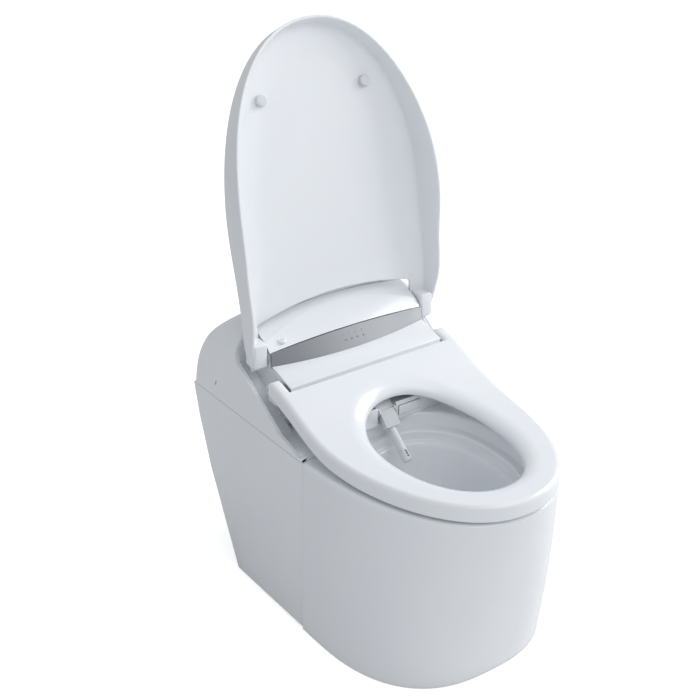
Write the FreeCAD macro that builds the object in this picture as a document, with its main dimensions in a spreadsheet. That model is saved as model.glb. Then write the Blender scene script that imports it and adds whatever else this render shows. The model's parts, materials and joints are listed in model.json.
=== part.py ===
import FreeCAD, Part
import math
import os
import re

import Sketcher
from FreeCAD import Placement, Rotation, Vector

# Floor-standing toilet with a washing seat. Millimetres, +Z up, the bowl's nose towards -Y, floor at Z 0.
# The lid is drawn shut and then turned up about its pins, the way it stands at rest.

DIMENSIONS = {
    # whole body
    "body_width": 400.0, "front_reach": 347.0, "rear_reach": 347.0, "rim_height": 345.0, "seam_y": -8.0,
    "piece_gap": 0.3, "cut_overrun": 40.0, "run_clearance": 0.05, "outline_power": 2.15,
    # ceramic bowl
    "foot_middle_y": -40.0, "foot_power": 2.6, "waist_height": 170.0, "waist_middle_y": -28.0,
    "rim_middle_y": -15.0, "pedestal_rear_y": 205.0, "deck_thickness": 27.0,
    "foot_flange_front_y": 60.0, "foot_flange_rear_y": 140.0, "foot_flange_thickness": 22.0,
    "floor_hole_y": 100.0, "floor_hole_radius": 6.0, "bowl_rear_y": 28.0, "bowl_middle_y": -120.0,
    "rim_drop": 27.0, "ledge_width": 14.0, "ledge_drop": 20.0, "sump_height": 112.0,
    "sump_half_width": 42.0, "sump_front_y": -160.0, "sump_rear_y": -60.0, "bowl_belly_height": 215.0,
    "belly_rear_y": -12.0, "trap_radius": 27.0, "weir_y": 62.0, "weir_height": 205.0, "outlet_y": 150.0,
    "outlet_radius": 52.0, "outlet_depth": 82.0, "outlet_wall": 6.0, "outlet_floor_gap": 2.0,
    "seal_height": 14.0, "seal_wall": 3.0,
    # side panels and what holds them
    "panel_thickness": 5.0, "panel_floor_gap": 3.0, "panel_knee_z": 184.0, "bracket_width": 22.0,
    "bracket_height": 15.0, "bracket_front_y": 40.0, "bracket_rear_y": 165.0, "bracket_low_z": 60.0,
    # base plate and casing
    "base_thickness": 6.0, "base_front_y": 14.7, "base_chamfer": 42.0, "base_notch_half_width": 21.0,
    "base_notch_y": 62.0, "base_screw_front_y": 104.0, "base_screw_rear_y": 203.0,
    "base_screw_radius": 2.7, "screw_head_radius": 5.0, "screw_head_height": 3.0, "screw_grip": 14.0,
    "casing_wall": 3.5, "casing_corner_radius": 22.0, "corner_overrun": 1.0, "dome_front_y": 197.0, "dome_share1": 0.166667,
    "dome_share2": 0.433333, "dome_share3": 0.72, "dome_share4": 0.913333, "ridge_y1": 60.0,
    "ridge_y2": 114.0, "ridge_y3": 169.0, "ridge_y4": 190.0, "ridge_width": 7.5, "trough_depth": 22.0,
    "trough_front_y": 82.0, "trough_side_gap": 2.0, "side_tab_front_y": 136.0, "side_tab_rear_y": 154.0,
    "slit_y": 267.0, "slit_length": 13.0, "slit_width": 2.0, "slit_depth": 1.2, "slit_lean": 25.0,
    # lid
    "lid_axis_y": 160.0, "lid_open_angle": 112.0, "lid_draft": 0.12, "lid_middle_y": -20.0,
    "lid_wall": 5.0, "lid_floor": 6.0, "lid_tail_y": 200.0, "notch_side_y": 107.0,
    "notch_middle_y": 94.0, "lid_bumper_y": -247.0,
    "lid_bumper_radius": 10.0, "lid_bumper_height": 9.0, "block_front_y": 145.0,
    "block_rear_y": 176.0, "pin_radius": 5.0, "pin_reach": 13.0, "lid_top_y1": 0.0,
    "lid_top_y2": -150.0, "lid_top_y3": -260.0, "lid_tip_y": 192.0, "lid_back_y1": 160.0,
    "lid_back_y2": 130.0, "lid_rim_y1": 160.0, "lid_rim_y2": 106.0, "lid_rim_y3": 49.0,
    "lid_rim_y4": -9.0, "lid_rim_y5": -69.0, "lid_rim_y6": -127.0, "lid_rim_y7": -250.0,
    # seat
    "seat_axis_y": 110.0, "seat_thickness": 30.0, "seat_middle_y": -20.0, "seat_rear_y": 106.0,
    "seat_notch_y": 74.0, "seat_skin": 4.0, "seat_upper_depth": 22.0, "heater_thickness": 0.6,
    "heater_inset": 12.0, "hole_middle_y": -120.0, "hole_rear_y": 18.0, "seat_top_y2": 52.0,
    "seat_top_y3": 0.0, "seat_top_y4": -45.0, "seat_top_y5": -100.0, "seat_top_y6": -200.0,
    "seat_top_y0": 140.0, "seat_bumper_y": -120.0, "seat_bumper_radius": 9.0, "arm_front_y": 84.0,
    "arm_radius": 8.0, "arm_drop": 20.0,
    # unit between the hinges
    "tower_front_y": 98.0, "tower_rear_y": 196.0, "tower_step_y": 130.0, "tower_dip_y": 139.0,
    "tower_knee_y": 144.0, "tower_crown_y": 162.0, "flap_front_y": 76.5, "flap_slope": 0.3,
    "flap_thickness": 4.0, "flap_rear_y": 133.3, "flap_bulge": 14.0, "band_top_y": 136.0,
    "band_crown": 7.0, "band_thickness": 3.0, "cover_middle_y": 162.0, "cover_rear_y": 196.5,
    "cover_rear_crown": 15.0, "cover_thickness": 3.5, "board_half_width": 60.0, "board_gap": 6.0,
    "board_thickness": 2.0, "lens_radius": 1.4, "lens_first_x": -12.0, "lens_pitch": 12.7,
    "lens_proud": 0.4, "dome_y": 150.0, "dome_radius": 8.0, "dome_stem": 3.0, "dome_rise": 2.2,
    # washing nozzle
    "nozzle_x": -4.5, "nozzle_tip_y": -46.9, "nozzle_angle": 40.0, "wand_radius": 8.7,
    "wand_length": 124.0, "wand_tip_length": 22.0, "nozzle_travel": 60.0, "spray_radius": 1.6,
    "spray_pitch": 5.5, "spray_first": 8.0, "spray_depth": 4.0, "housing_start": 97.0,
    "housing_end": 153.0, "housing_half_width": 17.5, "housing_half_height": 12.5,
    "shutter_start": 64.0, "shutter_end": 94.5, "shutter_half_width": 14.7, "shutter_lift": 14.1,
    "shutter_thickness": 2.0, "shutter_cheek": 2.0, "shutter_cheek_drop": 11.0, "shutter_tilt": 9.2,
    "shutter_pin_radius": 1.6, "nozzle_motor_radius": 10.0, "nozzle_motor_length": 18.0,
    "nozzle_motor_at": 136.0, "guide_foot_width": 5.0, "guide_foot_depth": 14.0,
    "guide_foot_height": 20.0, "nozzle_recess_half_width": 22.0, "nozzle_recess_front_y": 16.0,
    # dryer and deodoriser
    "wall_thickness": 3.0, "outlet_x": 43.5, "outlet_half_width": 23.5, "dryer_flap_thickness": 2.5,
    "duct_rear_y": 70.0, "duct_wall": 2.0, "fan_x": 66.0, "fan_y": 106.0, "scroll_radius": 36.0,
    "scroll_height": 30.0, "scroll_wall": 2.5, "fan_radius": 26.0, "fan_height": 18.0, "fan_disc": 2.0,
    "fan_hub_radius": 7.0, "fan_shaft_radius": 2.0, "blade_thickness": 1.6, "blade_count": 12.0,
    "fan_motor_radius": 15.0, "fan_motor_height": 24.0, "eye_radius": 18.0, "deodoriser_x": -74.0,
    "cartridge_half_width": 26.0, "cartridge_front_y": 36.0, "cartridge_height": 26.0,
    # drives and water parts
    "drive_radius": 12.0, "lid_drive_length": 62.0, "damper_radius": 9.0, "damper_length": 40.0,
    "seat_drive_radius": 8.0, "control_high_x": -66.0, "control_front_y": 212.0,
    "control_height": 44.0, "heater_low_x": -52.0, "heater_high_x": 62.0,
    "heater_front_y": 212.0, "heater_height": 84.0, "tank_corner": 14.0,
    "valve_low_x": 78.0, "valve_high_x": 118.0, "valve_height": 34.0, "coil_radius": 14.0,
    "coil_height": 26.0, "pump_low_x": 130.0, "pump_height": 40.0, "part_corner": 5.0,
    "frame_thickness": 3.0, "frame_low_z": 12.0, "flush_pump_x": 62.0, "flush_pump_y": 252.0,
    "flush_pump_radius": 30.0, "flush_pump_low_z": 70.0, "flush_pump_high_z": 190.0,
    "flush_neck_radius": 13.0, "flush_neck_top_z": 214.0,
    "stop_valve_half": 18.0, "stop_valve_z": 150.0, "stop_valve_rear_y": 252.0, "inlet_radius": 10.48,
    "inlet_length": 16.0, "inlet_flange_radius": 15.0, "inlet_flange_length": 4.0, "hose_high_z": 225.0,
    "hose_radius": 6.0, "hose_bend": 30.0, "gland_x": 60.0, "gland_radius": 9.0, "gland_length": 8.0,
    "gland_bore": 3.6,
}
# heights above the bowl's rim
ABOVE_RIM = {
    "bracket_high_z": -95.0, "frame_high_z": -33.0, "panel_upper_z": -64.0,
    "casing_top_z": 181.0, "casing_shoulder_z": 163.0, "casing_edge_z": 107.0, "dome_z1": 177.0,
    "dome_z2": 153.0, "dome_z3": 110.0, "dome_z4": 60.0, "ridge_z1": 21.0, "ridge_z2": 55.0,
    "ridge_z3": 91.0, "ridge_z4": 102.0, "ridge_toe_z": 2.0, "side_tab_top_z": 9.0, "slit_z": 31.0,
    "lid_axis_z": 130.0, "lid_rim_side_z": 40.0, "lid_rim_nose_z": 13.0, "lid_low_z": -5.0,
    "lid_high_z": 155.0, "block_low_z": 116.0, "block_high_z": 138.0, "lid_top_z0": 127.0,
    "lid_top_z1": 105.0, "lid_top_z2": 76.0, "lid_top_z3": 59.0, "lid_top_z4": 46.0, "lid_tip_z": 133.0,
    "lid_back_z1": 144.0, "lid_back_z2": 137.0, "lid_rim_z1": 111.0, "lid_rim_z2": 76.0,
    "lid_rim_z3": 59.0, "lid_rim_z4": 39.0, "lid_rim_z5": 25.0, "lid_rim_z6": 17.0, "lid_rim_z7": 13.0,
    "seat_axis_z": 80.0, "seat_top_z1": 99.0, "seat_top_z2": 83.0, "seat_top_z3": 61.0,
    "seat_top_z4": 46.5, "seat_top_z5": 39.0, "seat_top_z6": 36.0, "seat_top_z7": 36.0,
    "seat_top_z0": 105.0, "tower_knee_z": 121.0, "tower_crown_z": 143.0, "tower_rear_z": 151.0,
    "flap_front_z": 91.0, "band_top_z": 130.0, "cover_middle_z": 151.0, "cover_rear_z": 163.0,
    "board_low_z": 107.0, "board_high_z": 131.0, "lens_z": 126.4, "nozzle_tip_z": -47.4,
    "wall_top_z": 34.0, "wall_rear_top_z": 59.0, "outlet_low_z": 8.0, "outlet_high_z": 26.0,
    "gland_z": 27.0,
}
# distances in from the body's half width
FROM_SIDE = {
    "foot_half_width": -2.0, "waist_half_width": -0.5, "rim_half_width": 2.0,
    "pedestal_half_width": 75.0, "deck_half_width": 12.0, "foot_flange_half_width": 35.0,
    "floor_hole_x": 50.0, "bowl_half_width": 72.0, "belly_half_width": 108.0, "base_half_width": 8.0,
    "base_screw_x": 30.0, "casing_shoulder_x": 38.0, "lid_half_width": -5.0, "notch_half_width": 24.0,
    "lid_bumper_x": 95.0, "block_low_x": 33.5, "seat_half_width": 11.5, "seat_notch_half_width": 34.0,
    "hole_half_width": 89.0, "seat_bumper_x": 52.0, "seat_bumper_front_x": 125.0, "arm_low_x": 31.5,
    "arm_high_x": 14.0, "tower_low_x": 50.0, "tower_high_x": 37.3, "cover_half_width": 38.0,
    "flap_half_width": 37.3, "wall_half_width": 52.0, "frame_half_width": 50.0, "pump_high_x": 22.0,
}
# distances in from the body's left side
FROM_LEFT = {
    "control_low_x": 14.0, "dome_x": 68.0, "stop_valve_x": 90.0,
}
# distances forward of the body's rear
FROM_REAR = {
    "panel_foot_y": 134.0, "panel_knee_y": 48.0, "panel_upper_y": 15.0, "deck_rear_y": 27.0,
    "base_rear_y": 11.0, "heater_rear_y": 57.0, "control_rear_y": 47.0,
}
# distances back from the body's front
FROM_FRONT = {
    "bowl_front_y": 35.0, "belly_front_y": 85.0, "hole_front_y": 55.0, "seat_bumper_front_y": 55.0,
    "seat_top_y7": -33.0, "lid_top_y4": -43.0,
}
# how far the noses reach past the body's front
PAST_FRONT = {
    "foot_nose": -63.0, "waist_nose": -28.0, "rim_nose": -4.0, "lid_nose": 19.0,
}
RISE = "_above_rim"
INSET = "_from_side"
LEFT_INSET = "_from_left"
SETBACK = "_from_rear"
FRONT_SETBACK = "_from_front"
OVERHANG = "_past_front"

# shares of a nose curve's half turn at which its points stand
NOSE_SHARES = [step / 14 for step in range(15)]
QUARTER_TURN = 90.0

doc = FreeCAD.newDocument("WashingToilet")
sheet = doc.addObject("Spreadsheet::Sheet", "dims")


def sheet_rows():
    """Every cell of the sheet: plain sizes first, then those that ride on one of them."""
    rows = [(alias, str(size)) for alias, size in DIMENSIONS.items()]
    ties = [
        (ABOVE_RIM, RISE, "rim_height + "), (FROM_SIDE, INSET, "body_width / 2 - "),
        (FROM_LEFT, LEFT_INSET, "-body_width / 2 + "), (FROM_REAR, SETBACK, "rear_reach - "),
        (FROM_FRONT, FRONT_SETBACK, "-front_reach + "), (PAST_FRONT, OVERHANG, "front_reach + "),
    ]
    for table, ending, datum in ties:
        for alias, size in table.items():
            rows.append((alias + ending, str(size)))
            rows.append((alias, f"={datum}{alias}{ending}"))
    return rows


for row, (cell_name, content) in enumerate(sheet_rows(), start=1):
    sheet.set(f"A{row}", cell_name)
    sheet.setAlias(f"B{row}", cell_name)
    sheet.set(f"B{row}", content)
ALIASES = {cell_name for cell_name, _ in sheet_rows()}
doc.recompute()


def v(alias):
    """The value of a cell of the dimension sheet."""
    return float(sheet.get(alias))


def bound(text):
    """An expression in which each alias of the sheet is written out in full."""
    return re.sub(r"[a-z_][a-z0-9_]*", lambda m: f"dims.{m[0]}" if m[0] in ALIASES else m[0], text)


def block(name, x, y, z):
    """A box between low and high expressions along each axis."""
    piece = doc.addObject("Part::Box", name)
    for side, (low, high) in zip(("Length", "Width", "Height"), (x, y, z)):
        piece.setExpression(side, bound(f"({high}) - ({low})"))
    for axis, (low, _) in zip("xyz", (x, y, z)):
        piece.setExpression(f"Placement.Base.{axis}", bound(low))
    return piece


def rod(name, axis, radius, span, centre):
    """A cylinder along one axis; centre holds the other two coordinates in x, y, z order."""
    piece = doc.addObject("Part::Cylinder", name)
    turns = {"x": (Vector(0, 1, 0), QUARTER_TURN), "y": (Vector(1, 0, 0), -QUARTER_TURN)}
    if axis in turns:
        piece.Placement.Rotation = Rotation(*turns[axis])
    piece.setExpression("Radius", bound(radius))
    piece.setExpression("Height", bound(f"({span[1]}) - ({span[0]})"))
    places = dict(zip([a for a in "xyz" if a != axis], centre))
    places[axis] = span[0]
    for name_of_axis, text in places.items():
        piece.setExpression(f"Placement.Base.{name_of_axis}", bound(text))
    return piece


def cut(name, base, *tools):
    """Base less every tool."""
    piece = doc.addObject("Part::Cut", name)
    piece.Base = base
    piece.Tool = tools[0] if len(tools) == 1 else fuse(name + "_tools", *tools)
    return piece


def fuse(name, *shapes):
    """One solid out of pieces that overlap."""
    piece = doc.addObject("Part::MultiFuse", name)
    piece.Shapes = list(shapes)
    return piece


def group(name, *shapes):
    """Alike but separate solids that share one node."""
    piece = doc.addObject("Part::Compound", name)
    piece.Links = list(shapes)
    return piece


def sketch_on(body, role, name, offset="0"):
    """A sketch on one of the body's own origin planes, moved along its normal."""
    sketch = body.newObject("Sketcher::SketchObject", name)
    plane = next(f for f in body.Origin.OriginFeatures if f.Role == role)
    sketch.AttachmentSupport = [(plane, "")]
    sketch.MapMode = "FlatFace"
    sketch.setExpression("AttachmentOffset.Base.z", bound(offset))
    return sketch


def number(text):
    """The present value of an expression, read through a scratch property."""
    probe = doc.getObject("probe") or doc.addObject("App::FeaturePython", "probe")
    if not hasattr(probe, "reading"):
        probe.addProperty("App::PropertyFloat", "reading")
    probe.setExpression("reading", bound(text))
    probe.recompute()
    return probe.reading


def polygon(sketch, corners):
    """A closed outline whose corners are bound to expressions."""
    first = sketch.GeometryCount
    places = [Vector(number(x), number(y), 0) for x, y in corners]
    for start, end in zip(places, places[1:] + places[:1]):
        sketch.addGeometry(Part.LineSegment(start, end), False)
    count = len(corners)
    for step in range(count):
        after = first + (step + 1) % count
        sketch.addConstraint(Sketcher.Constraint("Coincident", first + step, 2, after, 1))
    for step, (texts, place) in enumerate(zip(corners, places)):
        for kind, text, value in zip(("DistanceX", "DistanceY"), texts, (place.x, place.y)):
            index = sketch.addConstraint(Sketcher.Constraint(kind, -1, 1, first + step, 1, value))
            sketch.setExpression(f"Constraints[{index}]", bound(text))


def circle(sketch, x, y, radius):
    """A circle whose centre and radius are bound to expressions."""
    index = sketch.addGeometry(Part.Circle(Vector(number(x), number(y), 0), Vector(0, 0, 1), number(radius)), False)
    for kind, text in (("DistanceX", x), ("DistanceY", y)):
        spot = sketch.addConstraint(Sketcher.Constraint(kind, -1, 1, index, 3, number(text)))
        sketch.setExpression(f"Constraints[{spot}]", bound(text))
    spot = sketch.addConstraint(Sketcher.Constraint("Radius", index, number(radius)))
    sketch.setExpression(f"Constraints[{spot}]", bound(radius))


def new_body(name):
    """An empty body."""
    return doc.addObject("PartDesign::Body", name)


def pad(body, role, name, corners, offset, length):
    """A pad of a bound outline, from offset along the plane's normal."""
    sketch = sketch_on(body, role, name + "_sketch", offset)
    if isinstance(corners, list):
        polygon(sketch, corners)
    else:
        circle(sketch, *corners)
    feature = body.newObject("PartDesign::Pad", name)
    feature.Profile = sketch
    feature.setExpression("Length", bound(length))
    sketch.Visibility = False
    return feature


def pocket(body, role, name, circles, offset, length, reverse=False):
    """Round holes cut from offset against the plane's normal."""
    sketch = sketch_on(body, role, name + "_sketch", offset)
    for spot in circles:
        circle(sketch, *spot)
    doc.recompute()
    before = body.Shape.Volume
    feature = body.newObject("PartDesign::Pocket", name)
    feature.Profile = sketch
    feature.Reversed = reverse
    feature.setExpression("Length", bound(length))
    doc.recompute()
    if not body.Shape.Volume < before:
        raise RuntimeError(f"{name} cuts nothing")
    return feature


def revolved(name, outline, centre):
    """A body turned about a vertical line; outline holds radius and height expressions."""
    body = new_body(name)
    sketch = sketch_on(body, "XZ_Plane", name + "_sketch")
    polygon(sketch, outline)
    feature = body.newObject("PartDesign::Revolution", name + "_turn")
    feature.Profile = sketch
    feature.ReferenceAxis = (sketch, ["V_Axis"])
    feature.Angle = 4 * QUARTER_TURN
    for axis, text in zip("xyz", centre):
        body.setExpression(f"Placement.Base.{axis}", bound(text))
    return body


def feature(name, shape):
    """A sculpted solid that reads the sheet in its own function."""
    piece = doc.addObject("Part::Feature", name)
    piece.Shape = shape
    return piece


# Outlines and profiles for the sculpted shells


def nose_curve(half_width, middle_y, reach, power, z):
    """The rounded front of a plan outline, from +X round to -X."""
    points = []
    for share in NOSE_SHARES:
        turn = math.pi * share
        x = math.copysign(abs(math.cos(turn)) ** (2 / power), math.cos(turn))
        y = abs(math.sin(turn)) ** (2 / power)
        points.append(Vector(half_width * x, middle_y - reach * y, z))
    points[0] = Vector(half_width, middle_y, z)
    points[-1] = Vector(-half_width, middle_y, z)
    curve = Part.BSplineCurve()
    along = Vector(0, 1, 0) if reach > 0 else Vector(0, -1, 0)
    curve.interpolate(Points=points, InitialTangent=along * -1, FinalTangent=along)
    return curve.toShape()


def plan_wire(half_width, middle_y, nose, rear_y, power, z):
    """A plan outline with a rounded nose, straight sides and a straight rear."""
    front = nose_curve(half_width, middle_y, nose + middle_y, power, z)
    corners = [(-half_width, middle_y), (-half_width, rear_y), (half_width, rear_y), (half_width, middle_y)]
    places = [Vector(x, y, z) for x, y in corners]
    sides = [Part.LineSegment(a, b).toShape() for a, b in zip(places, places[1:])]
    return Part.Wire([front] + sides)


def egg_wire(half_width, front_y, middle_y, rear_y, power, z):
    """A closed egg outline."""
    front = nose_curve(half_width, middle_y, middle_y - front_y, power, z)
    rear = nose_curve(half_width, middle_y, middle_y - rear_y, power, z)
    return Part.Wire([front, rear])


def column(wire, height):
    """A wire's face pulled straight up."""
    return Part.Face(wire).extrude(Vector(0, 0, height))


def side_curve(points, lift=0.0):
    """A smooth curve through y, z points of the side view."""
    curve = Part.BSplineCurve()
    curve.interpolate([Vector(0, y, z + lift) for y, z in points])
    return curve.toShape()


def side_slab(edges, half_width):
    """A side view's closed outline spread over both sides."""
    face = Part.Face(Part.Wire(Part.__sortEdges__(edges)))
    face.translate(Vector(-half_width, 0, 0))
    return face.extrude(Vector(2 * half_width, 0, 0))


def side_line(start, end):
    """A straight edge of the side view."""
    return Part.LineSegment(Vector(0, *start), Vector(0, *end)).toShape()


def band_slab(points, top_drop, bottom_drop, half_width):
    """The space between one side curve and the same curve lower down."""
    (y0, z0), (y1, z1) = points[0], points[-1]
    return side_slab(
        [
            side_curve(points, -top_drop),
            side_line((y1, z1 - top_drop), (y1, z1 - bottom_drop)),
            side_curve(points, -bottom_drop),
            side_line((y0, z0 - bottom_drop), (y0, z0 - top_drop)),
        ],
        half_width,
    )


def pairs(prefix, numbers):
    """The y, z points of a curve that the sheet holds as prefix_yN and prefix_zN."""
    return [(v(f"{prefix}_y{n}"), v(f"{prefix}_z{n}")) for n in numbers]


def plain_box(low, high):
    """A box between two corners."""
    size = [b - a for a, b in zip(low, high)]
    return Part.makeBox(*size, Vector(*low))


# Ceramic


def ceramic_shape():
    """The skirted bowl with its rear pedestal, deck, trapway and floor flange."""
    seam = v("seam_y")
    power = v("outline_power")
    outer = Part.makeLoft(
        [
            plan_wire(v("foot_half_width"), v("foot_middle_y"), v("foot_nose"), seam, v("foot_power"), 0),
            plan_wire(v("waist_half_width"), v("waist_middle_y"), v("waist_nose"), seam,
                      (power + v("foot_power")) / 2, v("waist_height")),
            plan_wire(v("rim_half_width"), v("rim_middle_y"), v("rim_nose"), seam, power, v("rim_height")),
        ],
        True,
    )
    top = v("rim_height")
    side = v("pedestal_half_width")
    pedestal = plain_box((-side, seam - v("piece_gap"), 0), (side, v("pedestal_rear_y"), top))
    side = v("deck_half_width")
    deck = plain_box((-side, seam - v("piece_gap"), top - v("deck_thickness")), (side, v("deck_rear_y"), top))
    side = v("foot_flange_half_width")
    flange = plain_box((-side, v("foot_flange_front_y"), 0),
                       (side, v("foot_flange_rear_y"), v("foot_flange_thickness")))
    body = outer.fuse([pedestal, deck, flange])
    return body.cut([bowl_hollow(), trapway(), *deck_holes(), *floor_holes()]).removeSplitter()


def bowl_hollow():
    """The space inside the bowl: a straight rim, a ledge, a second ledge and the belly."""
    power = v("outline_power")
    top = v("rim_height")
    ledge = v("ledge_width")

    def ring(inset, z):
        return egg_wire(v("bowl_half_width") - inset, v("bowl_front_y") + inset, v("bowl_middle_y"),
                        v("bowl_rear_y") - inset, power, z)

    rim = column(ring(0, top - v("rim_drop")), v("rim_drop") + v("cut_overrun"))
    low = top - v("rim_drop") - v("ledge_drop")
    shelf = column(ring(ledge, low), v("ledge_drop") + v("cut_overrun"))
    belly = Part.makeLoft(
        [
            ring(ledge + ledge / 2, low + v("piece_gap")),
            egg_wire(v("belly_half_width"), v("belly_front_y"), v("bowl_middle_y"), v("belly_rear_y"),
                     power, v("bowl_belly_height")),
            egg_wire(v("sump_half_width"), v("sump_front_y"), (v("sump_front_y") + v("sump_rear_y")) / 2,
                     v("sump_rear_y"), power, v("sump_height")),
        ],
        True,
    )
    return rim.fuse([shelf, belly])


def trapway():
    """The water path from the sump up over the weir and down to the floor outlet."""
    radius = v("trap_radius")
    sump = Vector(0, v("sump_rear_y") - radius, v("sump_height") + radius)
    weir = Vector(0, v("weir_y"), v("weir_height"))
    fall = Vector(0, v("outlet_y"), v("weir_height"))
    low = Vector(0, v("outlet_y"), v("outlet_depth") - v("seal_height"))
    shapes = [Part.makeSphere(radius, spot) for spot in (weir, fall)]
    for start, end in ((sump, weir), (weir, fall), (fall, low)):
        shapes.append(Part.makeCylinder(radius, (end - start).Length, start, end - start))
    socket = Part.makeCylinder(v("outlet_radius"), v("outlet_depth"), Vector(0, v("outlet_y"), 0))
    return socket.fuse(shapes)


def screw_spots():
    """Where the base plate is screwed to the deck."""
    return [
        (side * v("base_screw_x"), y)
        for side in (-1, 1)
        for y in (v("base_screw_front_y"), v("base_screw_rear_y"))
    ]


def deck_holes():
    """Blind holes for the base plate's screws."""
    radius = v("base_screw_radius") + v("piece_gap")
    bottom = v("rim_height") - v("screw_grip") - v("piece_gap")
    return [
        Part.makeCylinder(radius, v("cut_overrun"), Vector(x, y, bottom)) for x, y in screw_spots()
    ]


def floor_holes():
    """The two holes by which the bowl is bolted to the floor."""
    return [
        Part.makeCylinder(v("floor_hole_radius"), v("cut_overrun"), Vector(side * v("floor_hole_x"), v("floor_hole_y"), 0))
        for side in (-1, 1)
    ]


def make_outlet():
    """The outlet connector in the bowl's foot and the rubber ring above it."""
    outer = "outlet_radius - piece_gap"
    inner = "outlet_radius - outlet_wall"
    top = "outlet_depth - seal_height - piece_gap"
    low = "outlet_floor_gap"
    connector = revolved("outlet_connector", [(inner, low), (outer, low), (outer, top), (inner, top)],
                         ("0", "outlet_y", "0"))
    low = "outlet_depth - seal_height"
    top = "outlet_depth - piece_gap"
    inner = "outlet_radius - outlet_wall - seal_wall"
    seal = revolved("outlet_seal", [(inner, low), (outer, low), (outer, top), (inner, top)],
                    ("0", "outlet_y", "0"))
    return [connector, seal]


# Side panels, brackets and the rear frame


def make_side_panels():
    """Two flat panels that hide the pedestal, with a rear edge that slopes in to the foot."""
    top = "rim_height - 4 * piece_gap"
    outline = [
        ("seam_y + piece_gap", "panel_floor_gap"),
        ("panel_foot_y", "panel_floor_gap"),
        ("panel_knee_y", "panel_knee_z"),
        ("panel_upper_y", "panel_upper_z"),
        ("rear_reach - piece_gap", top),
        ("seam_y + piece_gap", top),
    ]
    left = new_body("left_side_panel")
    pad(left, "YZ_Plane", "left_panel_pad", outline, "-body_width / 2 + piece_gap", "panel_thickness")
    right = new_body("right_side_panel")
    pad(right, "YZ_Plane", "right_panel_pad", outline,
        "body_width / 2 - piece_gap - panel_thickness", "panel_thickness")
    return [left, right]


def make_brackets():
    """Blocks between the pedestal's flat sides and the panels."""
    inner = "body_width / 2 - piece_gap - panel_thickness"
    pieces = []
    for front in ("bracket_front_y", "bracket_rear_y"):
        for low in ("bracket_low_z", "bracket_high_z"):
            for x in (("pedestal_half_width", inner), (f"-({inner})", "-pedestal_half_width")):
                name = f"bracket_{len(pieces)}"
                y = (front, f"{front} + bracket_width")
                pieces.append(block(name, x, y, (low, f"{low} + bracket_height")))
    return group("panel_brackets", *pieces)


def make_rear_frame():
    """A sheet on the pedestal's rear face that carries the pump and the stop valve."""
    body = new_body("rear_frame")
    outline = [
        ("-frame_half_width", "frame_low_z"),
        ("frame_half_width", "frame_low_z"),
        ("frame_half_width", "frame_high_z"),
        ("-frame_half_width", "frame_high_z"),
    ]
    pad(body, "XZ_Plane", "rear_frame_pad", outline, "-pedestal_rear_y - frame_thickness", "frame_thickness")
    return body


def make_flush_parts():
    """The flush pump, the stop valve with its threaded inlet, and the hoses between them."""
    face = "pedestal_rear_y + frame_thickness"
    r = "flush_pump_radius"
    x = "flush_pump_x"
    barrel = rod("pump_barrel", "z", r, ("flush_pump_low_z", "flush_pump_high_z"), (x, "flush_pump_y"))
    foot = block("pump_foot", (f"{x} - {r} / 2", f"{x} + {r} / 2"), (face, "flush_pump_y"),
                 (f"flush_pump_low_z + {r} / 2", f"flush_pump_high_z - {r} / 2"))
    neck = rod("pump_neck", "z", "flush_neck_radius", ("flush_pump_high_z", "flush_neck_top_z"), (x, "flush_pump_y"))
    pump = fuse("flush_pump", barrel, foot, neck)
    h = "stop_valve_half"
    valve = block("stop_valve", (f"stop_valve_x - {h}", f"stop_valve_x + {h}"), (face, "stop_valve_rear_y"),
                  (f"stop_valve_z - {h}", f"stop_valve_z + {h}"))
    spot = ("stop_valve_x", "stop_valve_z")
    rear = "stop_valve_rear_y + inlet_flange_length"
    flange = rod("inlet_flange", "y", "inlet_flange_radius", ("stop_valve_rear_y", rear), spot)
    thread = rod("inlet_thread", "y", "inlet_radius", (rear, f"{rear} + inlet_length"), spot)
    hose = feature("flush_hose", hose_shape())
    return [pump, valve, fuse("water_inlet", flange, thread), hose]


def hose_shape():
    """The hose from the stop valve's top over to the pump's side."""
    y = (v("pedestal_rear_y") + v("frame_thickness") + v("stop_valve_rear_y")) / 2
    start = Vector(v("stop_valve_x"), y, v("stop_valve_z") + v("stop_valve_half"))
    bend = v("hose_bend")
    high = v("hose_high_z")
    end = Vector(v("flush_pump_x"), v("flush_pump_y"), high)
    corner = Vector(start.x, y, high)
    diagonal = (Vector(end.x, y, high) - corner).normalize()
    rise = Vector(0, 0, 1)
    a = corner - rise * bend
    b = corner + diagonal * bend
    middle = corner + (diagonal - rise) * bend * (1 - math.cos(math.radians(QUARTER_TURN / 2)))
    last = Vector(end.x - v("flush_pump_radius"), y, high)
    edges = [
        Part.LineSegment(start, a).toShape(),
        Part.Arc(a, middle, b).toShape(),
        Part.LineSegment(b, last).toShape(),
    ]
    profile = Part.Wire(Part.makeCircle(v("hose_radius"), start, rise))
    pipe = Part.Wire(edges).makePipeShell([profile], True, False)
    elbow = Part.makeSphere(v("hose_radius"), last)
    across = Vector(end.x, end.y, 0) - Vector(last.x, last.y, 0)
    run = Part.makeCylinder(v("hose_radius"), across.Length, last, across)
    fall = Part.makeCylinder(v("hose_radius"), high - v("flush_neck_top_z"),
                             Vector(end.x, end.y, v("flush_neck_top_z")))
    knob = Part.makeSphere(v("hose_radius"), end)
    return pipe.fuse([elbow, run, fall, knob]).removeSplitter()


# Base plate and casing


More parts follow.
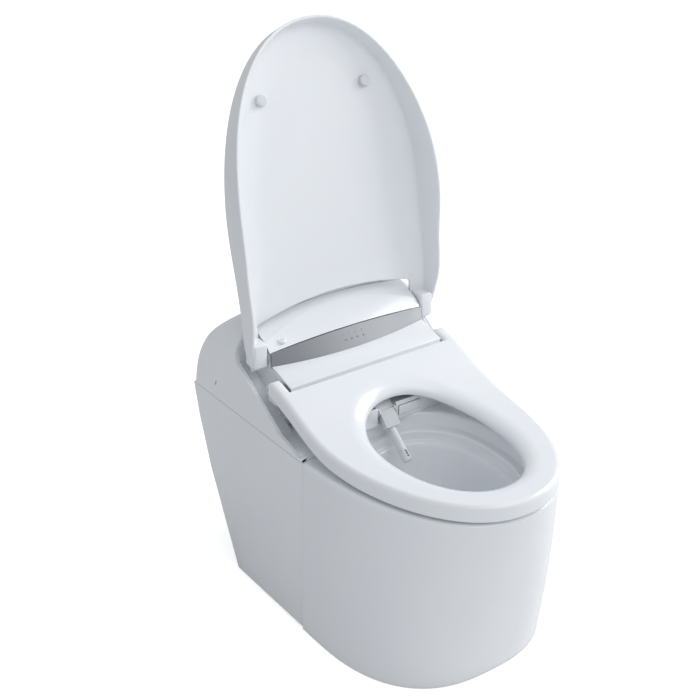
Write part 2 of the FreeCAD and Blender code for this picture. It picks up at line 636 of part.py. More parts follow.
def make_base_plate():
    """The plate on the ceramic deck that carries the whole upper unit."""
    body = new_body("base_plate")
    front, rear, side = "base_front_y", "base_rear_y", "base_half_width"
    notch, depth = "base_notch_half_width", "base_notch_y"
    outline = [
        (f"-{side}", front), (f"nozzle_x - {notch}", front), (f"nozzle_x - {notch}", depth),
        (f"nozzle_x + {notch}", depth), (f"nozzle_x + {notch}", front), (side, front), (side, f"{rear} - base_chamfer"), (f"{side} - base_chamfer", rear),
        (f"base_chamfer - {side}", rear), (f"-{side}", f"{rear} - base_chamfer"),
    ]
    pad(body, "XY_Plane", "base_plate_pad", outline, "rim_height + piece_gap", "base_thickness")
    spots = [
        (f"{sign}base_screw_x", y, "base_screw_radius + piece_gap")
        for sign in ("", "-")
        for y in ("base_screw_front_y", "base_screw_rear_y")
    ]
    pocket(body, "XY_Plane", "base_plate_holes", spots, "rim_height + base_thickness + cut_overrun",
           "2 * cut_overrun")
    return body


def make_base_screws():
    """Four screws that hold the base plate down on the deck."""
    top = "rim_height + piece_gap + base_thickness"
    pieces = []
    for x in ("base_screw_x", "-base_screw_x"):
        for y in ("base_screw_front_y", "base_screw_rear_y"):
            name = f"base_screw_{len(pieces)}"
            shank = rod(name + "_shank", "z", "base_screw_radius", ("rim_height - screw_grip", top), (x, y))
            head = rod(name + "_head", "z", "screw_head_radius", (top, f"{top} + screw_head_height"), (x, y))
            pieces.append(fuse(name, shank, head))
    return group("base_screws", *pieces)


def casing_side(inset):
    """The casing's side view, moved in by inset."""
    low = v("rim_height") + v("piece_gap") - v("cut_overrun")
    rear = v("rear_reach") - inset
    toe = v("seam_y") + inset
    crown = [(v("dome_front_y") - v("cut_overrun") / 2, v("casing_top_z") - inset)]
    deep = v("rear_reach") - v("dome_front_y")
    for n in (1, 2, 3, 4):
        y = v("dome_front_y") + deep * v(f"dome_share{n}")
        crown.append((y - inset / 2, v(f"dome_z{n}") - inset))
    crown += [(rear, v("rim_height") + v("piece_gap"))]
    start = crown[0]
    end = crown[-1]
    return side_slab(
        [
            side_curve(crown),
            side_line(end, (rear, low)),
            side_line((rear, low), (toe, low)),
            side_line((toe, low), (toe, start[1])),
            side_line((toe, start[1]), start),
        ],
        v("body_width"),
    )


def casing_front(inset):
    """The casing's front view, crowned and rounded off to the sides."""
    side = v("body_width") / 2 - inset
    low = v("rim_height") + v("piece_gap") - v("cut_overrun")
    edge, shoulder, top = v("casing_edge_z") - inset, v("casing_shoulder_z") - inset, v("casing_top_z") - inset
    corner = v("casing_shoulder_x") - inset
    points = [(-side, edge), (-corner, shoulder), (0, top), (corner, shoulder), (side, edge)]
    curve = Part.BSplineCurve()
    curve.interpolate(Points=[Vector(x, 0, z) for x, z in points], InitialTangent=Vector(0, 0, 1),
                      FinalTangent=Vector(0, 0, -1))
    lines = [(-side, edge), (-side, low), (side, low), (side, edge)]
    places = [Vector(x, 0, z) for x, z in lines]
    edges = [curve.toShape()]
    edges += [Part.LineSegment(a, b).toShape() for a, b in zip(places, places[1:])]
    face = Part.Face(Part.Wire(Part.__sortEdges__(edges)))
    face.translate(Vector(0, -v("front_reach"), 0))
    return face.extrude(Vector(0, 3 * v("rear_reach"), 0))


def casing_plan(inset):
    """The casing's plan with its rounded rear corners, a little past the side view's rear face."""
    side = v("body_width") / 2 - inset
    rear = v("rear_reach") - inset + v("corner_overrun")
    front = v("seam_y") + inset
    radius = v("casing_corner_radius")
    low = v("rim_height") + v("piece_gap") - v("cut_overrun")
    solid = plain_box((-side, front, low), (side, rear, v("casing_top_z") + v("cut_overrun")))
    upright = [
        e for e in solid.Edges
        if abs(e.BoundBox.YMin - rear) < v("piece_gap") and e.BoundBox.ZLength > radius
    ]
    return solid.makeFillet(radius - inset, upright)


def ridge_points(drop):
    """The falling top line of the casing's two arms, moved down by drop."""
    points = pairs("ridge", (4, 3, 2, 1))
    return [(y, z - drop) for y, z in points + [(v("seam_y"), v("ridge_toe_z"))]]


def above_ridge(drop, half_width, rear_y):
    """Everything above the arms' top line, forward of rear_y."""
    points = ridge_points(drop)
    (y0, z0), (y1, z1) = points[0], points[-1]
    high = v("casing_top_z") + v("cut_overrun")
    far = v("seam_y") - v("cut_overrun")
    edges = [side_line(a, b) for a, b in zip(points, points[1:])]
    edges += [
        side_line((y1, z1), (far, z1)),
        side_line((far, z1), (far, high)),
        side_line((far, high), (rear_y, high)),
        side_line((rear_y, high), (rear_y, z0)),
        side_line((rear_y, z0), (y0, z0)),
    ]
    return side_slab(edges, half_width)


def casing_shape():
    """The white upper shell: a rear dome with two arms that run forward beside the seat."""
    wall = v("casing_wall")
    low = v("rim_height") + v("piece_gap")
    floor = plain_box((-v("body_width"), -v("front_reach"), low),
                      (v("body_width"), v("rear_reach"), v("casing_top_z") + v("cut_overrun")))
    outer = casing_side(0).common(casing_front(0)).common(casing_plan(0)).common(floor)
    inner = casing_side(wall).common(casing_front(wall)).common(casing_plan(wall))
    arm = v("body_width") / 2 - v("ridge_width")
    rear = v("dome_front_y")
    skin = above_ridge(0, v("body_width"), rear)
    well = above_ridge(v("trough_depth"), arm, rear)
    side = v("tower_high_x") + v("trough_side_gap")
    unit = plain_box((-side, -v("front_reach"), low - wall), (side, rear, v("casing_top_z") + v("cut_overrun")))
    hollow = inner.cut(above_ridge(v("trough_depth") + wall, v("body_width"), rear + wall))
    shell = outer.cut([skin, well, unit]).cut(hollow)
    front = plain_box((-arm, -v("front_reach"), low - wall), (arm, v("trough_front_y"), v("casing_top_z")))
    shell = shell.cut([front, tab_notch(v("piece_gap")), slit(), gland_hole()])
    return max(shell.removeSplitter().Solids, key=lambda s: s.Volume)


def tab_notch(gap):
    """The space of the small tab low on the left side."""
    side = v("body_width") / 2
    return plain_box((-side - gap, v("side_tab_front_y") - gap, v("rim_height") - gap),
                     (-v("base_half_width") - v("piece_gap"), v("side_tab_rear_y") + gap, v("side_tab_top_z") + gap))


def side_tab_shape():
    """The tab itself, seated against the base plate's edge."""
    side = v("body_width") / 2
    return plain_box((-side, v("side_tab_front_y"), v("rim_height") + v("piece_gap")),
                     (-v("base_half_width"), v("side_tab_rear_y"), v("side_tab_top_z")))


def slit():
    """The short leaning slit high on the left side."""
    length, width = v("slit_length"), v("slit_width")
    piece = Part.makeBox(v("slit_depth") + width, width, length, Vector(-width, -width / 2, -length / 2))
    place = Vector(-v("body_width") / 2, v("slit_y"), v("slit_z"))
    piece.Placement = Placement(place, Rotation(Vector(1, 0, 0), v("slit_lean")))
    return piece


def gland_hole():
    """The hole in the casing's rear for the power inlet."""
    start = Vector(v("gland_x"), v("rear_reach") - v("cut_overrun"), v("gland_z"))
    return Part.makeCylinder(v("gland_radius") + v("piece_gap"), 2 * v("cut_overrun"), start, Vector(0, 1, 0))


def make_gland():
    """The power inlet in the casing's rear."""
    rear = "rear_reach - casing_wall"
    spot = ("gland_x", "gland_z")
    stem = rod("gland_stem", "y", "gland_radius", (f"{rear} - 3 * gland_length", "rear_reach - piece_gap"), spot)
    collar = rod("gland_collar", "y", "gland_radius + casing_wall", (f"{rear} - 3 * gland_length", f"{rear} - gland_length"), spot)
    bore = rod("gland_bore_tool", "y", "gland_bore", (f"{rear} - cut_overrun", "rear_reach + cut_overrun"), spot)
    foot = block("gland_foot", ("gland_x - gland_radius", "gland_x + gland_radius"),
                 (f"{rear} - 3 * gland_length", f"{rear} - gland_length"),
                 ("rim_height + piece_gap + base_thickness", "gland_z - gland_bore - casing_wall"))
    return cut("power_gland", fuse("gland_solid", stem, collar, foot), bore)


# Lid, drawn shut


def lid_profile(drop):
    """The shut lid's side view; a drop lowers its top and opens it below."""
    back = [(v("lid_tip_y"), v("lid_tip_z")), *pairs("lid_back", (1, 2))]
    top = back + [(v("notch_side_y") - v("lid_wall"), v("lid_top_z0")), *pairs("lid_top", (1, 2, 3, 4))]
    rim = [(v("lid_tip_y"), v("lid_tip_z")), *pairs("lid_rim", (1, 2, 3, 4, 5, 6, 7))]
    rim.append((v("lid_top_y4"), v("lid_rim_nose_z")))
    if drop == 0:
        edges = [side_curve(top), side_line(top[-1], rim[-1]), side_curve(rim)]
        return side_slab(edges, v("body_width"))
    far = v("lid_low_z") - v("cut_overrun")
    edges = [
        side_curve(top, -drop),
        side_line((top[-1][0], top[-1][1] - drop), (top[-1][0], far)),
        side_line((top[-1][0], far), (top[0][0], far)),
        side_line((top[0][0], far), (top[0][0], top[0][1] - drop)),
    ]
    return side_slab(edges, v("body_width"))


def lid_cone(inset, rear_y):
    """The drafted plan of the lid, moved in by inset."""
    wires = []
    for z in (v("lid_low_z"), v("lid_high_z")):
        half = v("lid_half_width") - v("lid_draft") * (z - v("lid_rim_side_z")) - inset
        nose = v("lid_nose") - v("lid_draft") * (z - v("lid_rim_nose_z")) - inset
        wires.append(plan_wire(half, v("lid_middle_y"), nose, rear_y, v("outline_power"), z))
    return Part.makeLoft(wires, True, True)


def lid_notch():
    """The space at the lid's rear for the unit between the hinges, with a bowed front edge."""
    side, high, low = v("notch_half_width"), v("lid_high_z"), v("lid_low_z")
    far = v("lid_tail_y") + v("cut_overrun")
    left, right = Vector(-side, v("notch_side_y"), low), Vector(side, v("notch_side_y"), low)
    arc = Part.Arc(left, Vector(0, v("notch_middle_y"), low), right).toShape()
    places = [right, Vector(side, far, low), Vector(-side, far, low), left]
    lines = [Part.LineSegment(a, b).toShape() for a, b in zip(places, places[1:])]
    return column(Part.Wire([arc] + lines), high - low)


def opened(shape):
    """A piece of the lid turned from shut to its place at rest."""
    turned = shape.copy()
    turned.rotate(Vector(0, v("lid_axis_y"), v("lid_axis_z")), Vector(1, 0, 0), -v("lid_open_angle"))
    return turned


def lid_shape():
    """The dished lid with its walls and the two rear arms."""
    outer = lid_cone(0, v("lid_tail_y")).common(lid_profile(0))
    rear = v("lid_tail_y") + v("cut_overrun")
    inner = lid_cone(v("lid_wall"), rear).common(lid_profile(v("lid_floor")))
    shell = outer.cut([inner, lid_notch()])
    return opened(max(shell.Solids, key=lambda s: s.Volume))


def hinge_blocks_shape():
    """The blocks inside the lid's arms that hold its pins."""
    blocks = []
    wall = lid_cone(v("lid_wall") + v("piece_gap"), v("lid_tail_y"))
    roof = lid_profile(v("lid_floor") + v("piece_gap") / 3)
    for side in (-1, 1):
        low, high = sorted((side * v("block_low_x"), side * v("body_width") / 2))
        blocks.append(plain_box((low, v("block_front_y"), v("block_low_z")), (high, v("block_rear_y"), v("block_high_z"))))
    holes = [hinge_rod(side, v("pin_radius"), v("block_low_x") - v("piece_gap"), v("body_width") / 2 - v("lid_wall") * 3)
             for side in (-1, 1)]
    solids = []
    for piece in blocks:
        solids += piece.common(wall).common(roof).cut(holes).Solids
    return opened(Part.makeCompound(solids))


def hinge_rod(side, radius, near, far):
    """A rod on the lid's axis between two distances from the middle."""
    start = Vector(side * near, v("lid_axis_y"), v("lid_axis_z"))
    return Part.makeCylinder(radius, far - near, start, Vector(side, 0, 0))


def lid_pins_shape():
    """The two steel pins that the lid turns on."""
    near = v("tower_high_x") - v("pin_reach") + v("piece_gap")
    far = v("body_width") / 2 - v("lid_wall") * 3
    return Part.makeCompound([hinge_rod(side, v("pin_radius"), near, far) for side in (-1, 1)])


def lid_bumpers_shape():
    """Two soft discs inside the lid that land on the seat."""
    top = [(v("notch_side_y") - v("lid_wall"), v("lid_top_z0")), *pairs("lid_top", (1, 2, 3, 4))]
    roof = band_slab(top, v("lid_floor") + v("piece_gap") / 3, v("cut_overrun"), v("body_width"))
    solids = []
    for side in (-1, 1):
        foot = Vector(side * v("lid_bumper_x"), v("lid_bumper_y"), v("lid_top_z3") - v("lid_floor") - v("lid_bumper_height"))
        disc = Part.makeCylinder(v("lid_bumper_radius"), v("cut_overrun"), foot)
        solids += disc.common(roof).Solids
    return opened(Part.makeCompound(solids))


# Seat


def seat_points():
    """The seat's top line in the side view, high at the rear and level in front."""
    points = [(v("seat_top_y0"), v("seat_top_z0")), (v("seat_rear_y"), v("seat_top_z1"))]
    return points + pairs("seat_top", (2, 3, 4, 5, 6, 7))


def seat_plan(inset):
    """The seat's plan less its hole and its rear notch, both moved by inset."""
    high = v("casing_top_z")
    outline = plan_wire(v("seat_half_width") - inset, v("seat_middle_y"), v("front_reach") - inset,
                        v("seat_rear_y") - inset, v("outline_power"), 0)
    hole = egg_wire(v("hole_half_width") + inset, v("hole_front_y") - inset, v("hole_middle_y"),
                    v("hole_rear_y") + inset, v("outline_power"), -v("cut_overrun"))
    side = v("seat_notch_half_width") + inset
    notch = plain_box((-side, v("seat_notch_y") - inset, -v("cut_overrun")), (side, v("casing_top_z"), high + v("cut_overrun")))
    return column(outline, high).cut([column(hole, high + 2 * v("cut_overrun")), notch])


def seat_upper_shape():
    """The seat's top shell, hollow below."""
    points = seat_points()
    wide = v("body_width")
    outer = seat_plan(0).common(band_slab(points, 0, v("seat_upper_depth"), wide))
    hollow = seat_plan(v("seat_skin")).common(
        band_slab(points, v("seat_skin"), v("seat_upper_depth") + v("cut_overrun"), wide))
    return outer.cut(hollow).cut(seat_axle(v("arm_radius") + v("piece_gap")))


def seat_heater_shape():
    """The heating foil under the seat's top skin."""
    top = v("seat_skin") + v("piece_gap")
    slab = band_slab(seat_points(), top, top + v("heater_thickness"), v("body_width"))
    return seat_plan(v("heater_inset")).common(slab)


def seat_lower_shape():
    """The plate that closes the seat from below."""
    top = v("seat_upper_depth") + v("piece_gap")
    slab = band_slab(seat_points(), top, v("seat_thickness"), v("body_width"))
    half = v("nozzle_recess_half_width")
    x = v("nozzle_x")
    recess = plain_box((x - half, v("nozzle_recess_front_y"), 0), (x + half, v("seat_rear_y"), v("casing_top_z")))
    return seat_plan(0).common(slab).cut([seat_axle(v("arm_radius") + v("piece_gap")), recess])


def make_seat_bumpers():
    """Four rubber feet between the seat and the bowl's rim."""
    top = "seat_top_z6 - seat_thickness - piece_gap / 3"
    spots = [
        ("seat_bumper_x", "seat_bumper_y"), ("-seat_bumper_x", "seat_bumper_y"),
        ("seat_bumper_front_x", "seat_bumper_front_y"), ("-seat_bumper_front_x", "seat_bumper_front_y"),
    ]
    pieces = [
        rod(f"seat_bumper_{n}", "z", "seat_bumper_radius", ("rim_height + piece_gap", top), spot)
        for n, spot in enumerate(spots)
    ]
    return group("seat_bumpers", *pieces)


def seat_axle(radius):
    """A rod on the seat's axis right across the body."""
    start = Vector(-v("body_width") / 2, v("seat_axis_y"), v("seat_axis_z"))
    return Part.makeCylinder(radius, v("body_width"), start, Vector(1, 0, 0))


def seat_arms_shape():
    """The hinge arms under the seat's two rear ears, each with its boss."""
    solids = []
    under = band_slab(seat_points(), v("seat_thickness") + v("piece_gap") / 3, v("cut_overrun") * 3, v("body_width"))
    for side in (-1, 1):
        low, high = sorted((side * v("arm_low_x"), side * v("arm_high_x")))
        floor = v("seat_axis_z") - v("arm_drop")
        arm = plain_box((low, v("arm_front_y"), floor), (high, v("seat_axis_y"), v("seat_top_z1"))).common(under)
        start = Vector(low, v("seat_axis_y"), v("seat_axis_z"))
        boss = Part.makeCylinder(v("arm_radius"), high - low, start, Vector(1, 0, 0))
        solids += arm.fuse(boss).cut(seat_axle(v("pin_radius"))).Solids
    return Part.makeCompound(solids)


def make_seat_pins():
    """The two steel pins that the seat turns on."""
    near = "tower_high_x - pin_reach + piece_gap"
    far = "arm_high_x"
    spot = ("seat_axis_y", "seat_axis_z")
    return group(
        "seat_pins",
        rod("seat_pin_right", "x", "pin_radius", (near, far), spot),
        rod("seat_pin_left", "x", "pin_radius", (f"-({far})", f"-({near})"), spot),
    )


# Unit between the hinges


def under_flap(y):
    """The height just under the flap at y, as an expression."""
    return f"flap_front_z + flap_slope * ({y} - flap_front_y) - flap_thickness - piece_gap"


def make_tower(name, offset):
    """One upright plate with the bores of the lid's and the seat's pins."""
    body = new_body(name)
    low = "rim_height + piece_gap + base_thickness"
    outline = [
        ("tower_front_y", low), ("tower_rear_y", low), ("tower_rear_y", "tower_rear_z"),
        ("tower_crown_y", "tower_crown_z"), ("tower_knee_y", "tower_knee_z"),
        ("tower_dip_y", under_flap("tower_step_y")), ("tower_step_y", under_flap("tower_step_y")),
        ("tower_front_y", under_flap("tower_front_y")),
    ]
    thick = "tower_high_x - tower_low_x"
    pad(body, "YZ_Plane", name + "_pad", outline, offset, thick)
    spots = [
        ("lid_axis_y", "lid_axis_z", "pin_radius + run_clearance"),
        ("seat_axis_y", "seat_axis_z", "pin_radius + run_clearance"),
    ]
    pocket(body, "YZ_Plane", name + "_bores", spots, f"{offset} + {thick} + cut_overrun", "3 * cut_overrun")
    return body


def bowed(y_side, y_middle, z_side, z_middle, half_width):
    """An arc across the unit from side to side."""
    ends = [Vector(side * half_width, y_side, z_side) for side in (-1, 1)]
    return Part.Arc(ends[0], Vector(0, y_middle, z_middle), ends[1]).toShape()


def flap_shape():
    """The sloping plate in front of the band, with a bowed rear edge."""
    half = v("flap_half_width")
    front, rear = v("flap_front_y"), v("flap_rear_y") - v("piece_gap")
    arc = bowed(rear, rear - v("flap_bulge"), 0, 0, half)
    places = [Vector(half, rear, 0), Vector(half, front, 0), Vector(-half, front, 0), Vector(-half, rear, 0)]
    lines = [Part.LineSegment(a, b).toShape() for a, b in zip(places, places[1:])]
    tall = column(Part.Wire([arc] + lines), v("casing_top_z"))
    line = [(front - v("cut_overrun"), 0), (rear + v("cut_overrun"), 0)]
    points = [(y, v("flap_front_z") + v("flap_slope") * (y - front)) for y, _ in line]
    edges = [
        side_line(points[0], points[1]),
        side_line(points[1], (points[1][0], points[1][1] - v("flap_thickness"))),
        side_line((points[1][0], points[1][1] - v("flap_thickness")), (points[0][0], points[0][1] - v("flap_thickness"))),
        side_line((points[0][0], points[0][1] - v("flap_thickness")), points[0]),
    ]
    return tall.common(side_slab(edges, v("body_width")))


def flap_height(y):
    """The height of the flap's top face at y."""
    return v("flap_front_z") + v("flap_slope") * (y - v("flap_front_y"))


def band_edges():
    """The lower and upper arcs of the silver band."""
    half = v("cover_half_width")
    rear = v("flap_rear_y")
    bulge = rear - v("flap_bulge")
    lower = bowed(rear, bulge, flap_height(rear) - v("flap_thickness"), flap_height(bulge) - v("flap_thickness"), half)
    top = v("band_top_z")
    upper = bowed(v("band_top_y"), v("band_top_y"), top, top + v("band_crown"), half)
    return lower, upper


def lens_spots():
    """Where the four indicator lenses stand."""
    return [v("lens_first_x") + step * v("lens_pitch") for step in range(4)]


def band_shape():
    """The silver indicator band between the flap and the top cover."""
    face = Part.makeRuledSurface(*band_edges())
    solid = face.extrude(Vector(0, v("band_thickness"), 0))
    radius = v("lens_radius") + v("piece_gap") / 3
    holes = [
        Part.makeCylinder(radius, v("flap_rear_y"), Vector(x, v("flap_front_y"), v("lens_z")), Vector(0, 1, 0))
        for x in lens_spots()
    ]
    return solid.cut(holes)


def lenses_shape():
    """Four clear lenses through the band, held on the board behind it."""
    rear = v("band_top_y") + v("board_gap")
    low_y, low_z = v("flap_rear_y") - v("flap_bulge"), flap_height(v("flap_rear_y") - v("flap_bulge"))
    share = (v("lens_z") - low_z) / (v("band_top_z") + v("band_crown") - low_z)
    front = low_y + share * (v("band_top_y") - low_y) - v("lens_proud")
    return Part.makeCompound([
        Part.makeCylinder(v("lens_radius"), rear - front, Vector(x, front, v("lens_z")), Vector(0, 1, 0))
        for x in lens_spots()
    ])


def cover_section(y, side_z, middle_z, drop):
    """The section of the top cover across the unit at y."""
    half = v("cover_half_width")
    upper = bowed(y, y, side_z, middle_z, half)
    lower = bowed(y, y, side_z - drop, middle_z - drop, half)
    ends = [
        Part.LineSegment(Vector(side * half, y, side_z), Vector(side * half, y, side_z - drop)).toShape()
        for side in (-1, 1)
    ]
    return Part.Wire([upper, ends[1], lower, ends[0]])


def cover_levels():
    """Place and crown of the top cover's three sections."""
    front = v("band_top_y") + v("band_thickness") + v("piece_gap")
    crown = v("band_crown")
    return [
        (front, v("band_top_z"), v("band_top_z") + crown),
        (v("cover_middle_y"), v("cover_middle_z"), v("cover_middle_z") + crown),
        (v("cover_rear_y"), v("cover_rear_z"), v("cover_rear_z") + v("cover_rear_crown")),
    ]


def cover_shape():
    """The crowned white cover on top of the unit."""
    drop = v("cover_thickness")
    shell = Part.makeLoft([cover_section(y, a, b, drop) for y, a, b in cover_levels()], True)
    hole = Part.makeCylinder(v("dome_radius") + v("piece_gap"), v("casing_top_z"), Vector(v("dome_x"), v("dome_y"), 0))
    return shell.cut(hole)


def cover_height():
    """The height of the top cover at the small dome."""
    (y0, a0, b0), (y1, a1, b1) = cover_levels()[:2]
    share = (v("dome_y") - y0) / (y1 - y0)
    side = a0 + (a1 - a0) * share
    bow = (b0 - a0) + ((b1 - a1) - (b0 - a0)) * share
    return side + bow * (1 - (v("dome_x") / v("cover_half_width")) ** 2)


def dome_shape():
    """The small sensor dome in the top cover, seated on the left tower's side."""
    top = cover_height() + v("dome_rise")
    spot = Vector(v("dome_x"), v("dome_y"), 0)
    stem = Part.makeCylinder(v("dome_radius"), v("dome_stem") + v("dome_rise"), spot + Vector(0, 0, top - v("dome_stem") - v("dome_rise")))
    rounded = stem.makeFillet(v("dome_rise"), [max(stem.Edges, key=lambda e: e.BoundBox.ZMin)])
    return rounded


def make_board():
    """The circuit board behind the band."""
    y = "band_top_y + board_gap"
    return block("indicator_board", ("-board_half_width", "board_half_width"),
                 (y, f"{y} + board_thickness"), ("board_low_z", "board_high_z"))


def make_board_posts():
    """Two posts that carry the board from the base plate."""
    y = "band_top_y + board_gap + board_thickness"
    low = "rim_height + piece_gap + base_thickness"
    wide = "board_gap * 2"
    return group("board_posts", *[
        block(f"board_post_{n}", (x, f"{x} + {wide}"), (y, f"{y} + board_gap"), (low, "board_high_z"))
        for n, x in enumerate(("-board_half_width", f"board_half_width - {wide}"))
    ])


# Washing nozzle


def along_nozzle(distance, lift=0.0, x=0.0):
    """A point so far back from the nozzle's tip, above its axis and beside it."""
    turn = math.radians(v("nozzle_angle"))
    y = v("nozzle_tip_y") + distance * math.cos(turn) - lift * math.sin(turn)
    z = v("nozzle_tip_z") + distance * math.sin(turn) + lift * math.cos(turn)
    return Vector(v("nozzle_x") + x, y, z)


def nozzle_box(near, far, half_width, low, high):
    """A box laid along the nozzle's axis."""
    piece = Part.makeBox(2 * half_width, far - near, high - low)
    turn = Rotation(Vector(1, 0, 0), v("nozzle_angle"))
    piece.Placement = Placement(along_nozzle(near, low, -half_width), turn)
    return piece


def nozzle_direction():
    """The direction from the tip back along the nozzle."""
    return along_nozzle(1) - along_nozzle(0)


def wand_shape():
    """The sliding tube of the nozzle."""
    near = v("wand_tip_length")
    return Part.makeCylinder(v("wand_radius"), v("wand_length") - near, along_nozzle(near), nozzle_direction())


def wand_tip_shape():
    """The nozzle's tip with three spray holes on its upper side."""
    tip = Part.makeCylinder(v("wand_radius"), v("wand_tip_length"), along_nozzle(0), nozzle_direction())
    tip = tip.makeFillet(v("spray_first") / 4, [min(tip.Edges, key=lambda e: e.BoundBox.ZMax)])
    up = along_nozzle(0, 1) - along_nozzle(0)
    holes = [
        Part.makeCylinder(v("spray_radius"), v("spray_depth") * 2,
                          along_nozzle(v("spray_first") + n * v("spray_pitch") * 4 / 5, v("wand_radius") - v("spray_depth")), up)
        for n in range(3)
    ]
    return tip.cut(holes)


def housing_shape():
    """The guide in which the nozzle slides."""
    half = v("housing_half_height")
    body = nozzle_box(v("housing_start"), v("housing_end"), v("housing_half_width"), -half, half)
    bore = Part.makeCylinder(v("wand_radius") + v("run_clearance"), v("housing_end") + v("cut_overrun"),
                             along_nozzle(0), nozzle_direction())
    ears = []
    for side in (-1, 1):
        x = side * (v("shutter_half_width") + v("piece_gap"))
        far = side * v("housing_half_width")
        low, high = sorted((x, far))
        thick = v("shutter_thickness")
        ear = Part.makeBox(high - low, v("housing_start") - v("shutter_end") + 3 * thick, v("shutter_lift") + 2 * thick - half / 2)
        start = along_nozzle(v("shutter_end") - 2 * thick, half / 2, low)
        ear.Placement = Placement(start, Rotation(Vector(1, 0, 0), v("nozzle_angle")))
        ears.append(ear)
    pin = shutter_axle(v("shutter_pin_radius") + v("run_clearance"), v("housing_half_width") * 2)
    return body.fuse(ears).cut([bore, pin]).removeSplitter()


def shutter_axle(radius, length):
    """A rod on the shutter's axis, centred on the nozzle."""
    start = along_nozzle(v("shutter_end"), v("shutter_lift") + v("shutter_thickness") / 2, -length / 2)
    return Part.makeCylinder(radius, length, start, Vector(1, 0, 0))


def shutter_shape():
    """The hood that rests over the extended nozzle, with its pin ends."""
    lift, thick = v("shutter_lift"), v("shutter_thickness")
    half = v("shutter_half_width")
    plate = nozzle_box(v("shutter_start"), v("shutter_end"), half, lift, lift + thick)
    cheeks = []
    for side in (-1, 1):
        cheek = nozzle_box(v("shutter_start"), v("shutter_end") - thick, v("shutter_cheek") / 2,
                           lift - v("shutter_cheek_drop"), lift + thick / 2)
        cheek.translate(Vector(side * (half - v("shutter_cheek") / 2), 0, 0))
        cheeks.append(cheek)
    axle = shutter_axle(v("shutter_pin_radius"), 2 * (half + v("shutter_thickness")))
    hood = plate.fuse(cheeks + [axle]).removeSplitter()
    hood.rotate(along_nozzle(v("shutter_end"), lift + thick / 2), Vector(1, 0, 0), v("shutter_tilt"))
    return hood


def nozzle_motor_shape():
    """The stepper motor on the guide's side."""
    start = along_nozzle(v("nozzle_motor_at"), 0, -v("housing_half_width"))
    return Part.makeCylinder(v("nozzle_motor_radius"), v("nozzle_motor_length"), start, Vector(-1, 0, 0))


def make_guide_feet():
    """Two feet that carry the nozzle's guide on the base plate."""
    low = "rim_height + piece_gap + base_thickness"
    y = "base_front_y + 2 * piece_gap + wall_thickness"
    wide = "guide_foot_width"
    feet = [
        block(f"guide_foot_{n}", x, (y, f"{y} + guide_foot_depth"), (low, f"{low} + guide_foot_height"))
        for n, x in enumerate((("nozzle_x + housing_half_width", f"nozzle_x + housing_half_width + {wide}"),
                               (f"nozzle_x - housing_half_width - {wide}", "nozzle_x - housing_half_width")))
    ]
    return group("nozzle_guide_feet", *feet)


# Front wall, dryer and deodoriser


def front_wall_shape():
    """The shroud under the seat's rear: a front wall with its openings and two side walls."""
    low = v("rim_height") + v("piece_gap") + v("base_thickness")
    front = v("base_front_y") + v("piece_gap")
    half, thick, top = v("wall_half_width"), v("wall_thickness"), v("wall_top_z")
    wall = plain_box((-half, front, low), (half, front + thick, top))
    rear = v("tower_front_y") - v("piece_gap")
    edges = [(front, low), (rear, low), (rear, v("wall_rear_top_z")), (front, top), (front, low)]
    side = side_slab([side_line(a, b) for a, b in zip(edges, edges[1:])], half)
    inside = plain_box((thick - half, -front, 0), (half - thick, v("rear_reach"), v("casing_top_z")))
    gap = v("piece_gap")
    wide = v("housing_half_width") + v("shutter_thickness")
    centre = v("nozzle_x")
    nozzle = plain_box((centre - wide, 0, 0), (centre + wide, v("base_notch_y"), v("casing_top_z")))
    x, reach = v("outlet_x"), v("outlet_half_width")
    window = plain_box((x - reach, 0, v("outlet_low_z")), (x + reach, v("base_notch_y"), v("outlet_high_z")))
    air = plain_box((v("deodoriser_x") - reach, 0, v("outlet_low_z")),
                    (v("deodoriser_x") + reach, v("base_notch_y"), v("outlet_high_z") - gap))
    shroud = wall.fuse(side.cut(inside)).cut([nozzle, window, air])
    return Part.makeCompound(shroud.removeSplitter().Solids)


def dryer_flap_shape():
    """The flap over the dryer's outlet, with its pin ends, hung at its top."""
    gap = v("piece_gap")
    front = v("base_front_y") - v("dryer_flap_thickness")
    x, side = v("outlet_x"), v("outlet_half_width") - gap
    return plain_box((x - side, front, v("outlet_low_z") + gap), (x + side, v("base_front_y"), v("outlet_high_z") - gap))


def make_duct(name, x, rear):
    """A square duct from the front wall back to the fan."""
    low = "rim_height + piece_gap + base_thickness"
    side = "outlet_half_width + duct_wall"
    front = "base_front_y + piece_gap + wall_thickness"
    high = "outlet_high_z + duct_wall"
    outer = block(name + "_outer", (f"{x} - ({side})", f"{x} + {side}"), (front, rear), (low, high))
    inner = block(name + "_inner", (f"{x} - outlet_half_width", f"{x} + outlet_half_width"),
                  (f"{front} - cut_overrun", f"{rear} + cut_overrun"), (f"{low} + duct_wall", "outlet_high_z"))
    return cut(name, outer, inner)


def make_scroll(name, x):
    """A fan housing with its eye on top and a mouth to the front."""
    low = "rim_height + piece_gap + base_thickness"
    spot = (x, "fan_y")
    outer = rod(name + "_outer", "z", "scroll_radius", (low, f"{low} + scroll_height"), spot)
    inner = rod(name + "_inner", "z", "scroll_radius - scroll_wall",
                (f"{low} + scroll_wall", f"{low} + scroll_height - scroll_wall"), spot)
    eye = rod(name + "_eye", "z", "eye_radius", (f"{low} + scroll_height / 2", f"{low} + scroll_height + cut_overrun"), spot)
    mouth = block(name + "_mouth", (f"{x} - outlet_half_width / 2", f"{x} + outlet_half_width / 2"),
                  ("duct_rear_y - cut_overrun", "fan_y"), (f"{low} + scroll_wall", f"{low} + fan_height"))
    return cut(name, outer, inner, eye, mouth)


